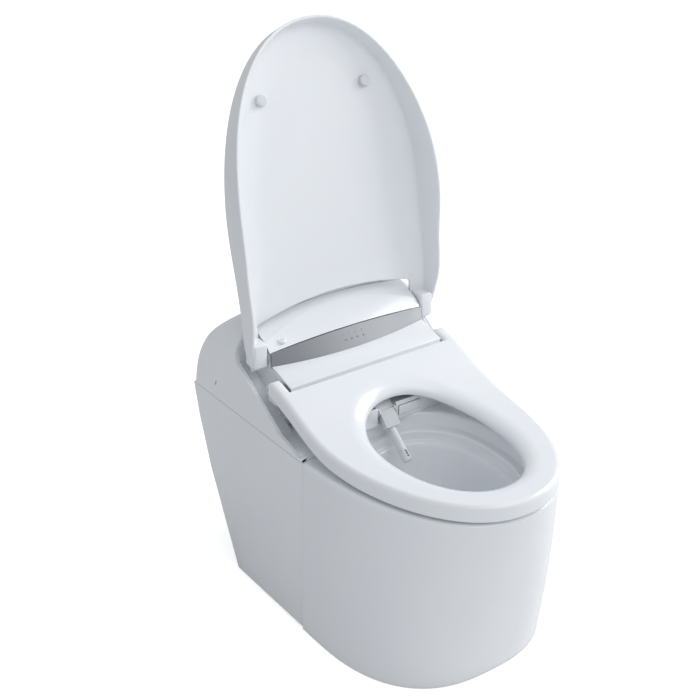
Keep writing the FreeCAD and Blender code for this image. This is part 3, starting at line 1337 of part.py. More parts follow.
def make_fan(name, x):
    """A fan wheel: hub, disc and a ring of blades."""
    body = new_body(name)
    pad(body, "XY_Plane", name + "_disc", ("0", "0", "fan_radius"), "0", "fan_disc")
    pad(body, "XY_Plane", name + "_hub", ("0", "0", "fan_hub_radius"), "0", "fan_height")
    half = "blade_thickness / 2"
    outline = [(f"fan_hub_radius + fan_radius / 3", f"-{half}"), ("fan_radius - blade_thickness", f"-{half}"),
               ("fan_radius - blade_thickness", half), ("fan_hub_radius + fan_radius / 3", half)]
    blade = pad(body, "XY_Plane", name + "_blade", outline, "0", "fan_height")
    ring = body.newObject("PartDesign::PolarPattern", name + "_ring")
    ring.Originals = [blade]
    axis = next(f for f in body.Origin.OriginFeatures if f.Role == "Z_Axis")
    ring.Axis = (axis, [""])
    ring.Angle = 4 * QUARTER_TURN
    ring.setExpression("Occurrences", bound("blade_count"))
    body.Tip = ring
    pocket(body, "XY_Plane", name + "_bore", [("0", "0", "fan_shaft_radius + run_clearance")],
           "fan_height + cut_overrun", "2 * cut_overrun")
    low = "rim_height + piece_gap + base_thickness + scroll_wall + 2 * fan_disc"
    for axis_name, text in zip("xyz", (x, "fan_y", low)):
        body.setExpression(f"Placement.Base.{axis_name}", bound(text))
    return body


def make_fan_motor(name, x):
    """The fan's motor on a bridge over the eye, with its shaft down into the wheel."""
    low = "rim_height + piece_gap + base_thickness + scroll_height"
    spot = (x, "fan_y")
    can = rod(name + "_can", "z", "fan_motor_radius", (low, f"{low} + fan_motor_height"), spot)
    bridge = block(name + "_bridge", (f"{x} - scroll_radius + scroll_wall", f"{x} + scroll_radius - scroll_wall"),
                   ("fan_y - fan_hub_radius / 2", "fan_y + fan_hub_radius / 2"), (low, f"{low} + scroll_wall"))
    shaft = rod(name + "_shaft", "z", "fan_shaft_radius", (f"{low} - scroll_height / 2", low), spot)
    return fuse(name, can, bridge, shaft)


def make_cartridge():
    """The deodoriser's filter box in front of its fan."""
    low = "rim_height + piece_gap + base_thickness"
    x = "deodoriser_x"
    side = "cartridge_half_width"
    return rounded_block("deodoriser_cartridge", (f"{x} - {side}", f"{x} + {side}"),
                         ("cartridge_front_y", "duct_rear_y - piece_gap"), (low, f"{low} + cartridge_height"),
                         "part_corner / 2")


# Drives and water parts


def rounded_block(name, x, y, z, radius):
    """A box whose upright edges are rounded."""
    body = new_body(name)
    outline = [(x[0], y[0]), (x[1], y[0]), (x[1], y[1]), (x[0], y[1])]
    base = pad(body, "XY_Plane", name + "_pad", outline, z[0], f"({z[1]}) - ({z[0]})")
    doc.recompute()
    height = number(f"({z[1]}) - ({z[0]})")
    upright = [
        f"Edge{n}" for n, e in enumerate(base.Shape.Edges, start=1)
        if abs(e.BoundBox.ZLength - height) < v("piece_gap") and e.BoundBox.XLength < v("piece_gap")
        and e.BoundBox.YLength < v("piece_gap")
    ]
    fillet = body.newObject("PartDesign::Fillet", name + "_round")
    fillet.Base = (base, upright)
    fillet.setExpression("Radius", bound(radius))
    body.Tip = fillet
    return body


def make_drives():
    """The lid's motor and damper and the seat's motor and damper, each against its tower."""
    far = "tower_low_x - piece_gap"
    lid = ("lid_axis_y", "lid_axis_z")
    seat = ("seat_axis_y", "seat_axis_z")
    return [
        rod("lid_motor", "x", "drive_radius", (f"{far} - lid_drive_length", far), lid),
        rod("lid_damper", "x", "damper_radius", (f"-({far})", f"-({far}) + damper_length"), lid),
        rod("seat_motor", "x", "seat_drive_radius", (f"-({far})", f"-({far}) + lid_drive_length"), seat),
        rod("seat_damper", "x", "seat_drive_radius", (f"{far} - damper_length", far), seat),
    ]


def make_upper_parts():
    """The boxes on the base plate under the rear dome."""
    low = "rim_height + piece_gap + base_thickness"
    control = rounded_block("control_box", ("control_low_x", "control_high_x"), ("control_front_y", "control_rear_y"),
                            (low, f"{low} + control_height"), "part_corner")
    tank = rounded_block("water_heater", ("heater_low_x", "heater_high_x"), ("heater_front_y", "heater_rear_y"),
                         (low, f"{low} + heater_height"), "tank_corner")
    valve = block("valve_body", ("valve_low_x", "valve_high_x"), ("heater_front_y", "heater_front_y + 2 * coil_radius + part_corner * 2"),
                  (low, f"{low} + valve_height"))
    coil = rod("valve_coil", "z", "coil_radius", (f"{low} + valve_height", f"{low} + valve_height + coil_height"),
               ("(valve_low_x + valve_high_x) / 2", "heater_front_y + coil_radius + part_corner"))
    pump = rounded_block("wash_pump", ("pump_low_x", "pump_high_x"), ("heater_front_y", "heater_rear_y - 3 * part_corner"),
                         (low, f"{low} + pump_height"), "part_corner")
    return [control, tank, fuse("water_valve", valve, coil), pump]


def make_parts():
    """Every sub-part of the toilet, each a document object with its own name."""
    return [
        feature("ceramic_bowl", ceramic_shape()), *make_outlet(), *make_side_panels(), make_brackets(),
        make_rear_frame(), *make_flush_parts(), make_base_plate(), make_base_screws(),
        feature("rear_casing", casing_shape()), feature("side_tab", side_tab_shape()), make_gland(),
        feature("lid", lid_shape()), feature("lid_hinge_blocks", hinge_blocks_shape()),
        feature("lid_pins", lid_pins_shape()), feature("lid_bumpers", lid_bumpers_shape()),
        feature("seat_upper", seat_upper_shape()), feature("seat_heater", seat_heater_shape()),
        feature("seat_lower", seat_lower_shape()), make_seat_bumpers(),
        feature("seat_hinge_arms", seat_arms_shape()), make_seat_pins(),
        make_tower("left_hinge_tower", "-tower_high_x"), make_tower("right_hinge_tower", "tower_low_x"),
        feature("front_flap", flap_shape()), feature("indicator_band", band_shape()),
        feature("indicator_lenses", lenses_shape()), make_board(), make_board_posts(),
        feature("top_cover", cover_shape()), feature("sensor_dome", dome_shape()),
        feature("nozzle_wand", wand_shape()), feature("nozzle_tip", wand_tip_shape()),
        feature("nozzle_guide", housing_shape()), make_guide_feet(),
        feature("nozzle_shutter", shutter_shape()), feature("nozzle_motor", nozzle_motor_shape()),
        feature("front_wall", front_wall_shape()), feature("dryer_flap", dryer_flap_shape()),
        make_duct("dryer_duct", "outlet_x", "duct_rear_y"), make_scroll("dryer_scroll", "fan_x"),
        make_fan("dryer_fan", "fan_x"), make_fan_motor("dryer_motor", "fan_x"), make_cartridge(),
        make_scroll("deodoriser_scroll", "deodoriser_x"), make_fan("deodoriser_fan", "deodoriser_x"),
        make_fan_motor("deodoriser_motor", "deodoriser_x"), *make_drives(), *make_upper_parts(),
    ]


def check(parts):
    """Stop if any object of the document failed or a sub-part has no sound shape."""
    for item in doc.Objects:
        if {"Invalid", "Error"} & set(item.State):
            raise RuntimeError(f"{item.Name}: {item.State}")
    for piece in parts:
        if piece.Shape.isNull() or not piece.Shape.isValid() or not piece.Shape.Solids:
            raise RuntimeError(f"{piece.Label} has no sound shape")


def main():
    """Build, check and write every sub-part."""
    parts = make_parts()
    doc.recompute()
    check(parts)
    os.makedirs("parts", exist_ok=True)
    for piece in parts:
        piece.Label = piece.Name
        piece.Shape.exportStep(os.path.join("parts", piece.Name + ".step"))
        print(piece.Name, len(piece.Shape.Solids), round(piece.Shape.Volume))


main()
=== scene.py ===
"""Dressed model of a floor-standing toilet with a built-in washing seat."""

import json
import logging
import math
from contextlib import contextmanager
from dataclasses import dataclass, field
from enum import Enum
from functools import partialmethod
from typing import Callable, Iterator, Sequence

import bpy
from mathutils import Matrix, Vector


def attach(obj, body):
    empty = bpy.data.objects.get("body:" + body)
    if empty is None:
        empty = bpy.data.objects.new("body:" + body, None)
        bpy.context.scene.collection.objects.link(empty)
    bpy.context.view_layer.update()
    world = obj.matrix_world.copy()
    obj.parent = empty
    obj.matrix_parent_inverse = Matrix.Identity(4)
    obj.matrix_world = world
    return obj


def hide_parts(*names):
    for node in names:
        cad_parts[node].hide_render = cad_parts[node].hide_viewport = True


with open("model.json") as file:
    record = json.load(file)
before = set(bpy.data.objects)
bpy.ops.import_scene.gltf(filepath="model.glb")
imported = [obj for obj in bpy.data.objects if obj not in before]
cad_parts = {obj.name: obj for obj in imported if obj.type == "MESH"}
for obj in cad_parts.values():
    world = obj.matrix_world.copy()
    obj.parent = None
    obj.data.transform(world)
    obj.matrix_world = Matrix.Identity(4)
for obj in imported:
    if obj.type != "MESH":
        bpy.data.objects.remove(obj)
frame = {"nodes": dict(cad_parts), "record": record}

log = logging.getLogger("toilet")
MM = 0.001
Plan = tuple[float, float]
Place = tuple[float, float, float]
Piece = bpy.types.Object


class Side(Enum):
    """The two sides of the body."""

    LEFT = -1.0
    RIGHT = 1.0


class Signal:
    """A number that changes over a surface; Python's operators add Math nodes."""

    def __init__(self, graph: "Graph", socket: bpy.types.NodeSocket) -> None:
        """Wrap a socket of the graph."""
        self.graph = graph
        self.socket = socket

    def _math(self, operation: str, other: object, turned: bool = False) -> "Signal":
        """Add one Math node.

        Args:
            operation: The node's operation.
            other: A signal or a number.
            turned: Whether the other comes first.

        Returns:
            The node's result.
        """
        pair = {0: other, 1: self} if turned else {0: self, 1: other}
        node = self.graph.node("ShaderNodeMath", {"operation": operation}, pair)
        return Signal(self.graph, node.outputs[0])

    __add__ = partialmethod(_math, "ADD")
    __radd__ = partialmethod(_math, "ADD", turned=True)
    __sub__ = partialmethod(_math, "SUBTRACT")
    __rsub__ = partialmethod(_math, "SUBTRACT", turned=True)
    __mul__ = partialmethod(_math, "MULTIPLY")


class Graph:
    """A material's node tree."""

    def __init__(self, name: str) -> None:
        """Start an empty material.

        Args:
            name: The material's name.
        """
        self.material = bpy.data.materials.new(name)
        self.material.use_nodes = True
        self.tree = self.material.node_tree
        self.tree.nodes.clear()
        self.output = self.node("ShaderNodeOutputMaterial")
        self.shader = self.node("ShaderNodeBsdfPrincipled")
        self.tree.links.new(self.shader.outputs[0], self.output.inputs["Surface"])

    def node(self, kind: str, settings: dict | None = None, values: dict | None = None) -> bpy.types.Node:
        """Add a node.

        Args:
            kind: The node's type.
            settings: Properties, set before the sockets.
            values: Values or links of its input sockets.

        Returns:
            The new node.
        """
        node = self.tree.nodes.new(kind)
        for key, value in (settings or {}).items():
            setattr(node, key, value)
        for key, value in (values or {}).items():
            self.feed(node.inputs[key], value)
        return node

    def feed(self, socket: bpy.types.NodeSocket, value: object) -> None:
        """Give a socket a value or a link."""
        if isinstance(value, Signal):
            self.tree.links.new(value.socket, socket)
        elif isinstance(value, bpy.types.NodeSocket):
            self.tree.links.new(value, socket)
        else:
            socket.default_value = value

    def shade(self, values: dict[str, object]) -> None:
        """Give the shader's sockets values or links."""
        for key, value in values.items():
            self.feed(self.shader.inputs[key], value)

    def place(self, scale: Sequence[float] = (1, 1, 1)) -> bpy.types.NodeSocket:
        """The object coordinates, stretched by scale."""
        spot = self.node("ShaderNodeTexCoord").outputs["Object"]
        return self.node("ShaderNodeMapping", None, {"Vector": spot, "Scale": tuple(scale)}).outputs[0]

    def axis(self, letter: str) -> Signal:
        """One object coordinate in metres."""
        split = self.node("ShaderNodeSeparateXYZ", None, {0: self.place()})
        return Signal(self, split.outputs["XYZ".index(letter)])

    def noise(self, size: float, detail: float = 2.0, stretch: Sequence[float] = (1, 1, 1)) -> Signal:
        """Even noise about a half.

        Args:
            size: The grain's size in metres.
            detail: The noise's octaves.
            stretch: How much the coordinates are stretched.

        Returns:
            The noise's factor.
        """
        values = {"Vector": self.place(stretch), "Scale": 1 / size, "Detail": detail, "Roughness": 0.55}
        return Signal(self, self.node("ShaderNodeTexNoise", None, values).outputs[0])

    def cells(self, size: float) -> Signal:
        """Distance from the nearest of scattered points."""
        values = {"Vector": self.place(), "Scale": 1 / size}
        return Signal(self, self.node("ShaderNodeTexVoronoi", None, values).outputs["Distance"])

    def span(self, value: Signal, low: float, high: float) -> Signal:
        """A value's place between low and high, held to 0 and 1."""
        values = {"Value": value, "From Min": low, "From Max": high}
        node = self.node("ShaderNodeMapRange", {"clamp": True, "interpolation_type": "SMOOTHSTEP"}, values)
        return Signal(self, node.outputs[0])

    def blend(self, share: Signal, first: Sequence[float], second: Sequence[float]) -> bpy.types.NodeSocket:
        """A colour between two."""
        node = self.node("ShaderNodeMix", {"data_type": "RGBA"})
        for socket, value in ((node.inputs[0], share), (node.inputs[6], (*first, 1)),
                              (node.inputs[7], (*second, 1))):
            self.feed(socket, value)
        return node.outputs[2]

    def bump(self, height: Signal, depth: float, strength: float = 1.0) -> None:
        """Raise the surface by a height of so many metres."""
        values = {"Height": height, "Distance": depth, "Strength": strength}
        node = self.node("ShaderNodeBump", None, values)
        self.shade({"Normal": node.outputs[0]})


@dataclass(frozen=True)
class Finish:
    """A plain moulded or glazed surface with faint colour and gloss changes and a fine texture."""

    name: str
    slot: str
    color: Place
    tint: Place
    roughness: float = 0.3
    spread: float = 0.08
    metallic: float = 0.0
    coat: float = 0.0
    grain: float = 0.0015
    depth: float = 0.00001
    stretch: Place = (1.0, 1.0, 1.0)

    def build(self) -> bpy.types.Material:
        """Make the material."""
        graph = Graph(self.name)
        cloud = graph.noise(0.12, 3.0)
        fine = graph.noise(self.grain, 2.0, self.stretch)
        body = graph.blend(graph.span(cloud, 0.35, 0.65), self.color, self.tint)
        rough = self.roughness - self.spread / 2 + cloud * (self.spread * 0.6) + fine * (self.spread * 0.4)
        graph.shade({"Base Color": body, "Roughness": rough, "Metallic": self.metallic,
                     "Coat Weight": self.coat, "Coat Roughness": 0.04})
        self.detail(graph, cloud, fine)
        return graph.material

    def detail(self, graph: Graph, cloud: Signal, fine: Signal) -> None:
        """Add the fine texture."""
        graph.bump(fine, self.depth)


@dataclass(frozen=True)
class GlazeFinish(Finish):
    """Fired glaze: a smooth skin with long soft waves and rare pinholes."""

    def detail(self, graph: Graph, cloud: Signal, fine: Signal) -> None:
        """Waves of the glaze and pinholes."""
        waves = graph.noise(0.03, 1.0)
        pits = 1 - graph.span(graph.cells(0.012), 0.0, 0.02)
        graph.bump(waves * 0.8 + fine * 0.2 - pits * 0.1, self.depth)


@dataclass(frozen=True)
class SilverFinish(Finish):
    """Silver paint with fine flakes, and a painted reflection that darkens it towards the left end."""

    # colour of the painted reflection at the band's dark left end
    painted_reflection_dark: Place = (0.3, 0.31, 0.33)

    def detail(self, graph: Graph, cloud: Signal, fine: Signal) -> None:
        """Flakes, and the painted reflection that darkens the band towards its left end."""
        flakes = graph.cells(0.0006)
        # painted reflection: the base colour runs from the dark tone at the left end to the silver on the
        # right, by X place
        shade = graph.span(graph.axis("X"), -0.17, 0.12)
        body = graph.blend(shade + flakes * 0.12 - 0.05, self.painted_reflection_dark, self.color)
        graph.shade({"Base Color": body})
        graph.bump(flakes, self.depth)


@dataclass(frozen=True)
class BoardFinish(Finish):
    """Circuit laminate with paler tracks."""

    def detail(self, graph: Graph, cloud: Signal, fine: Signal) -> None:
        """Tracks across the board."""
        tracks = graph.span(graph.noise(0.004, 0.0, (1, 1, 6)), 0.52, 0.56)
        graph.shade({"Base Color": graph.blend(tracks, self.color, self.tint)})
        graph.bump(tracks, self.depth)


GLAZE = GlazeFinish("white_glaze", "glazed_ceramic", (0.83, 0.85, 0.875), (0.82, 0.84, 0.87), 0.1, 0.04,
                    coat=0.4, depth=0.00003)
GLOSS = Finish("white_gloss", "white_gloss", (0.83, 0.85, 0.875), (0.82, 0.84, 0.87), 0.17, 0.05, coat=0.3,
               grain=0.004)
SEAT = Finish("seat_gloss", "seat_white", (0.84, 0.86, 0.885), (0.83, 0.85, 0.88), 0.2, 0.05, coat=0.25,
              grain=0.004)
SATIN = Finish("white_satin", "white_satin", (0.72, 0.735, 0.755), (0.7, 0.715, 0.735), 0.42, 0.1,
               grain=0.0012)
SILVER = SilverFinish("silver_paint", "silver_band", (0.64, 0.65, 0.67), (0.6, 0.61, 0.63), 0.32, 0.08, 0.55,
                      depth=0.00001)
NOZZLE = Finish("nozzle_grey", "nozzle_grey", (0.66, 0.68, 0.7), (0.64, 0.66, 0.685), 0.25, 0.06, coat=0.2)
LENS = Finish("clear_lens", "lens", (0.55, 0.6, 0.64), (0.52, 0.57, 0.61), 0.06, 0.03, coat=0.6)
# ink of the printed icons, also used as the painted shade of the casing's slit
INK_AND_SLIT_SHADE = Finish("icon_ink_and_slit_shade", "silver_band", (0.07, 0.075, 0.085), (0.06, 0.065, 0.075), 0.4, 0.1)
# painted shade: near-black for the discs that stand in for the dark inside of the spray holes
PAINTED_HOLE_SHADE = Finish("spray_hole", "nozzle_grey", (0.015, 0.016, 0.018), (0.012, 0.013, 0.015), 0.6, 0.1)
BUMPER = Finish("soft_bumper", "bumper", (0.66, 0.675, 0.69), (0.63, 0.645, 0.66), 0.55, 0.12, grain=0.0008,
                depth=0.00003)
RUBBER = Finish("black_rubber", "rubber", (0.025, 0.025, 0.027), (0.04, 0.04, 0.042), 0.7, 0.15,
                depth=0.00004)
PIPE = Finish("grey_plastic", "pipe_plastic", (0.38, 0.39, 0.4), (0.35, 0.36, 0.37), 0.5, 0.12, depth=0.00003)
BLACK = Finish("dark_plastic", "dark_plastic", (0.03, 0.03, 0.033), (0.045, 0.045, 0.048), 0.5, 0.14,
               depth=0.00004)
HOSE = Finish("hose_grey", "hose", (0.22, 0.22, 0.235), (0.19, 0.19, 0.2), 0.5, 0.12, depth=0.00004)
STEEL = Finish("turned_steel", "steel", (0.56, 0.56, 0.57), (0.5, 0.5, 0.51), 0.28, 0.14, 1.0,
               stretch=(8, 1, 1), depth=0.00002)
ZINC = Finish("galvanised_sheet", "galvanised", (0.52, 0.53, 0.55), (0.42, 0.43, 0.46), 0.42, 0.2, 0.9,
              grain=0.008, depth=0.00003)
FOIL = Finish("heating_foil", "foil", (0.75, 0.75, 0.76), (0.68, 0.68, 0.69), 0.3, 0.15, 1.0, grain=0.003,
              depth=0.00006)
BOARD = BoardFinish("green_laminate", "circuit_board", (0.02, 0.14, 0.06), (0.06, 0.28, 0.12), 0.4, 0.1,
                    depth=0.00004)
FILTER = Finish("porous_filter", "filter", (0.05, 0.05, 0.052), (0.025, 0.025, 0.026), 0.85, 0.1,
                grain=0.0016, depth=0.0003)
BRASS = Finish("turned_brass", "brass", (0.7, 0.52, 0.24), (0.6, 0.43, 0.19), 0.3, 0.14, 1.0,
               stretch=(1, 8, 1), depth=0.00002)
ALL_FINISHES = (GLAZE, GLOSS, SEAT, SATIN, SILVER, NOZZLE, LENS, INK_AND_SLIT_SHADE, PAINTED_HOLE_SHADE, BUMPER, RUBBER, PIPE, BLACK, HOSE,
                STEEL, ZINC, FOIL, BOARD, FILTER, BRASS)


class Palette:
    """The built materials, by finish and by the record's slot."""

    def __init__(self) -> None:
        """Build every finish once."""
        self.by_name = {finish.name: finish.build() for finish in ALL_FINISHES}
        self.by_slot: dict[str, Finish] = {}
        for finish in ALL_FINISHES:
            self.by_slot.setdefault(finish.slot, finish)

    def of(self, finish: Finish) -> bpy.types.Material:
        """The material of a finish."""
        return self.by_name[finish.name]


def deselect() -> None:
    """Leave edit mode and select nothing."""
    if bpy.context.object and bpy.context.object.mode != "OBJECT":
        bpy.ops.object.mode_set(mode="OBJECT")
    bpy.ops.object.select_all(action="DESELECT")


def choose(piece: Piece) -> Piece:
    """Make a piece the only selected and the active one."""
    deselect()
    piece.select_set(True)
    bpy.context.view_layer.objects.active = piece
    return piece


@contextmanager
def editing(piece: Piece) -> Iterator[None]:
    """Work on all of a piece in edit mode."""
    choose(piece)
    bpy.ops.object.mode_set(mode="EDIT")
    bpy.ops.mesh.select_all(action="SELECT")
    yield
    bpy.ops.object.mode_set(mode="OBJECT")


def modified(piece: Piece, kind: str, **settings: object) -> Piece:
    """Apply a modifier with these settings to a piece."""
    choose(piece)
    step = piece.modifiers.new("step", kind)
    for key, value in settings.items():
        setattr(step, key, value)
    bpy.ops.object.modifier_apply(modifier=step.name)
    return piece


def settle(piece: Piece) -> Piece:
    """Write a piece's place into its mesh."""
    choose(piece)
    bpy.ops.object.transform_apply(location=True, rotation=True, scale=True)
    return piece


def finish_piece(piece: Piece, body: str, palette: Palette, finish: Finish, *nodes: str) -> Piece:
    """Dress a piece, tie it to its body and report it.

    Args:
        piece: The finished mesh object.
        body: The body that it rides on.
        palette: The built materials.
        finish: The piece's finish.
        nodes: The nodes of the frame that it stands for.

    Returns:
        The piece.
    """
    settle(piece)
    piece.data.materials.clear()
    piece.data.materials.append(palette.of(finish))
    if nodes:
        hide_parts(*nodes)
    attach(piece, body)
    piece.data.calc_loop_triangles()
    log.info("%s: %d triangles on %s", piece.name, len(piece.data.loop_triangles), body)
    return piece


def smooth(piece: Piece, degrees: float = 35.0) -> Piece:
    """Shade a piece smooth but for its sharp edges."""
    choose(piece)
    bpy.ops.object.shade_smooth_by_angle(angle=math.radians(degrees))
    return piece


def bevelled(piece: Piece, width: float, segments: int = 3, degrees: float = 32.0) -> Piece:
    """Round a piece's sharp edges.

    Args:
        piece: The mesh object.
        width: The bevel's width in metres.
        segments: Its steps.
        degrees: The least angle of an edge that is rounded.

    Returns:
        The piece.
    """
    modified(piece, "BEVEL", width=width, segments=segments, limit_method="ANGLE",
             angle_limit=math.radians(degrees), harden_normals=False, use_clamp_overlap=True)
    return smooth(piece, degrees + 8.0)


def refined(node: str, width: float, segments: int = 3, degrees: float = 32.0) -> Piece:
    """A finer copy of a node of the frame: merged, its flat faces joined and its edges rounded.

    Args:
        node: The node's name.
        width: The width of the rounding in metres.
        segments: The rounding's steps.
        degrees: The least angle of an edge that is rounded.

    Returns:
        The copy, named after the node.
    """
    source = frame["nodes"][node]
    deselect()
    piece = bpy.data.objects.new(f"fine_{node}", source.data.copy())
    bpy.context.collection.objects.link(piece)
    with editing(piece):
        bpy.ops.mesh.remove_doubles(threshold=0.000002)
        bpy.ops.mesh.dissolve_limited(angle_limit=math.radians(0.6))
    if width <= 0:
        return smooth(piece, degrees)
    return bevelled(piece, width, segments, degrees)


def joined(name: str, pieces: Sequence[Piece]) -> Piece:
    """Join pieces into one under a name."""
    choose(pieces[0])
    for piece in pieces[1:]:
        piece.select_set(True)
    bpy.ops.object.join()
    pieces[0].name = name
    return pieces[0]


def walled(piece: Piece, thickness: float, offset: float = -1.0) -> Piece:
    """Give a sheet a wall of so many millimetres, behind its faces or before them."""
    return modified(piece, "SOLIDIFY", thickness=thickness * MM, offset=offset)


def rod(radius: float, length: float, place: Sequence[float], vertices: int, turn: float = 0.0) -> Piece:
    """A cylinder in millimetres, upright or turned about X by so many radians."""
    deselect()
    bpy.ops.mesh.primitive_cylinder_add(vertices=vertices, radius=radius * MM, depth=length * MM,
                                        location=[c * MM for c in place], rotation=(turn, 0, 0))
    return bpy.context.object


def block(name: str, low: Sequence[float], high: Sequence[float], edge: float,
          segments: int = 3) -> Piece:
    """A block with softened edges.

    Args:
        name: The piece's name.
        low: Its low corner in millimetres.
        high: Its high corner in millimetres.
        edge: The width of its edges' rounding in millimetres.
        segments: The rounding's steps.

    Returns:
        The piece.
    """
    deselect()
    centre = [(a + b) / 2 * MM for a, b in zip(low, high)]
    bpy.ops.mesh.primitive_cube_add(size=1, location=centre, scale=[(b - a) * MM for a, b in zip(low, high)])
    piece = settle(bpy.context.object)
    piece.name = name
    return bevelled(piece, edge * MM, segments)


def from_faces(name: str, points: Sequence[Sequence[float]], faces: Sequence[Sequence[int]]) -> Piece:
    """A sculpted piece from millimetre points, with doubles merged and its faces turned outwards."""
    data = bpy.data.meshes.new(name)
    data.from_pydata([tuple(c * MM for c in p) for p in points], [], [tuple(f) for f in faces])
    data.update()
    piece = bpy.data.objects.new(name, data)
    bpy.context.collection.objects.link(piece)
    with editing(piece):
        bpy.ops.mesh.remove_doubles(threshold=0.00002)
        bpy.ops.mesh.dissolve_degenerate(threshold=0.000005)
        bpy.ops.mesh.normals_make_consistent(inside=False)
    return piece


class Spline:
    """A smooth height along one coordinate, a cubic through its points with free or held ends."""

    def __init__(self, points: Sequence[Plan], start: Sequence = (None, None),
                 end: Sequence = (None, None)) -> None:
        """Fit the curve on its chord length and tabulate it.

        Args:
            points: The places and heights that it passes through.
            start: Its direction at the first point, if that is held.
            end: Its direction at the last point, if that is held.
        """
        spans = [math.dist(a, b) for a, b in zip(points, points[1:])]
        knots = [sum(spans[:n]) for n in range(len(points))]
        places = self._cubic(knots, [p[0] for p in points], start[0], end[0])
        heights = self._cubic(knots, [p[1] for p in points], start[1], end[1])
        steps = 400
        self.table = sorted((places(knots[-1] * n / steps), heights(knots[-1] * n / steps))
                            for n in range(steps + 1))

    @staticmethod
    def _cubic(knots: list[float], values: list[float], first: float | None,
               last: float | None) -> Callable[[float], float]:
        """A cubic spline through values at knots, natural or with held end slopes."""
        count = len(knots)
        gaps = [b - a for a, b in zip(knots, knots[1:])]
        lower, middle, upper, right = [0.0] * count, [1.0] * count, [0.0] * count, [0.0] * count
        for n in range(1, count - 1):
            lower[n], middle[n], upper[n] = gaps[n - 1], 2 * (gaps[n - 1] + gaps[n]), gaps[n]
            right[n] = 6 * ((values[n + 1] - values[n]) / gaps[n] - (values[n] - values[n - 1]) / gaps[n - 1])
        if first is not None:
            middle[0], upper[0] = 2 * gaps[0], gaps[0]
            right[0] = 6 * ((values[1] - values[0]) / gaps[0] - first)
        if last is not None:
            lower[-1], middle[-1] = gaps[-1], 2 * gaps[-1]
            right[-1] = 6 * (last - (values[-1] - values[-2]) / gaps[-1])
        for n in range(1, count):
            share = lower[n] / middle[n - 1]
            middle[n] -= share * upper[n - 1]
            right[n] -= share * right[n - 1]
        bends = [0.0] * count
        for n in range(count - 1, -1, -1):
            bends[n] = (right[n] - (upper[n] * bends[n + 1] if n < count - 1 else 0)) / middle[n]

        def at(place: float) -> float:
            n = next((k for k in range(count - 1) if place <= knots[k + 1]), count - 2)
            a, b, gap = knots[n + 1] - place, place - knots[n], gaps[n]
            curved = (bends[n] * a**3 + bends[n + 1] * b**3) / (6 * gap)
            near, far = values[n] / gap - bends[n] * gap / 6, values[n + 1] / gap - bends[n + 1] * gap / 6
            return curved + near * a + far * b

        return at

    def __call__(self, place: float) -> float:
        """The height at a place, level beyond the ends."""
        table = self.table
        if place <= table[0][0]:
            return table[0][1]
        for (a, p), (b, q) in zip(table, table[1:]):
            if place <= b:
                return p + (q - p) * (place - a) / max(b - a, 1e-9)
        return table[-1][1]


def ease(share: float) -> float:
    """A soft step from 0 to 1."""
    share = max(0.0, min(1.0, share))
    return share * share * (3 - 2 * share)


def bent(value: float, power: float) -> float:
    """A sine or cosine bent for an outline of that fullness."""
    return math.copysign(abs(value) ** (2 / power), value)


def nose_points(half: float, middle: float, reach: float, power: float, count: int) -> list[Plan]:
    """The left half of a rounded nose, from its tip to the side.

    Args:
        half: The half width at the side.
        middle: Where the nose's curve meets the side.
        reach: How far the tip stands from there towards the front.
        power: The curve's fullness.
        count: The number of steps.

    Returns:
        Plan points.
    """
    points = []
    for n in range(count + 1):
        turn = math.pi / 2 * (1 - n / count)
        points.append((-half * bent(math.cos(turn), power), middle - reach * bent(math.sin(turn), power)))
    return points


def half_width(half: float, middle: float, reach: float, power: float, y: float) -> float:
    """The half width of a nosed outline at y."""
    if y >= middle:
        return half
    share = min(1.0, (middle - y) / reach)
    return half * max(0.0, 1 - share**power) ** (1 / power)


def stations(low: float, high: float, count: int, ends: str = "both") -> list[float]:
    """Places between low and high, closer together at the named ends."""
    result = []
    for n in range(count + 1):
        share = n / count
        if ends == "both":
            share = (1 - math.cos(math.pi * share)) / 2
        elif ends == "low":
            share = 1 - math.cos(math.pi / 2 * share)
        elif ends == "high":
            share = math.sin(math.pi / 2 * share)
        result.append(low + (high - low) * share)
    return result


def grid_faces(rows: int, columns: int, start: int = 0, closed: bool = False) -> list[tuple[int, ...]]:
    """The faces of a grid of points that is stored row after row.

    Args:
        rows: The number of rows.
        columns: The points in each row.
        start: The first point's number.
        closed: Whether each row is a loop.

    Returns:
        Four-sided faces.
    """
    faces = []
    last = columns if closed else columns - 1
    for r in range(rows - 1):
        for c in range(last):
            a, b = start + r * columns + c, start + r * columns + (c + 1) % columns
            faces.append((a, b, b + columns, a + columns))
    return faces


def from_rows(name: str, rows: Sequence[Sequence[Sequence[float]]], closed: bool = False, first: bool = False,
              last: bool = False) -> Piece:
    """A sculpted piece from rows of equally many millimetre points.

    Args:
        name: The piece's name.
        rows: The points of each row.
        closed: Whether each row is a loop.
        first: Whether a face closes the first row.
        last: Whether a face closes the last row.

    Returns:
        The piece.
    """
    width, points = len(rows[0]), [point for row in rows for point in row]
    faces = grid_faces(len(rows), width, 0, closed)
    if first:
        faces.append(tuple(range(width)))
    if last:
        faces.append(tuple(range(len(points) - width, len(points))))
    return from_faces(name, points, faces)


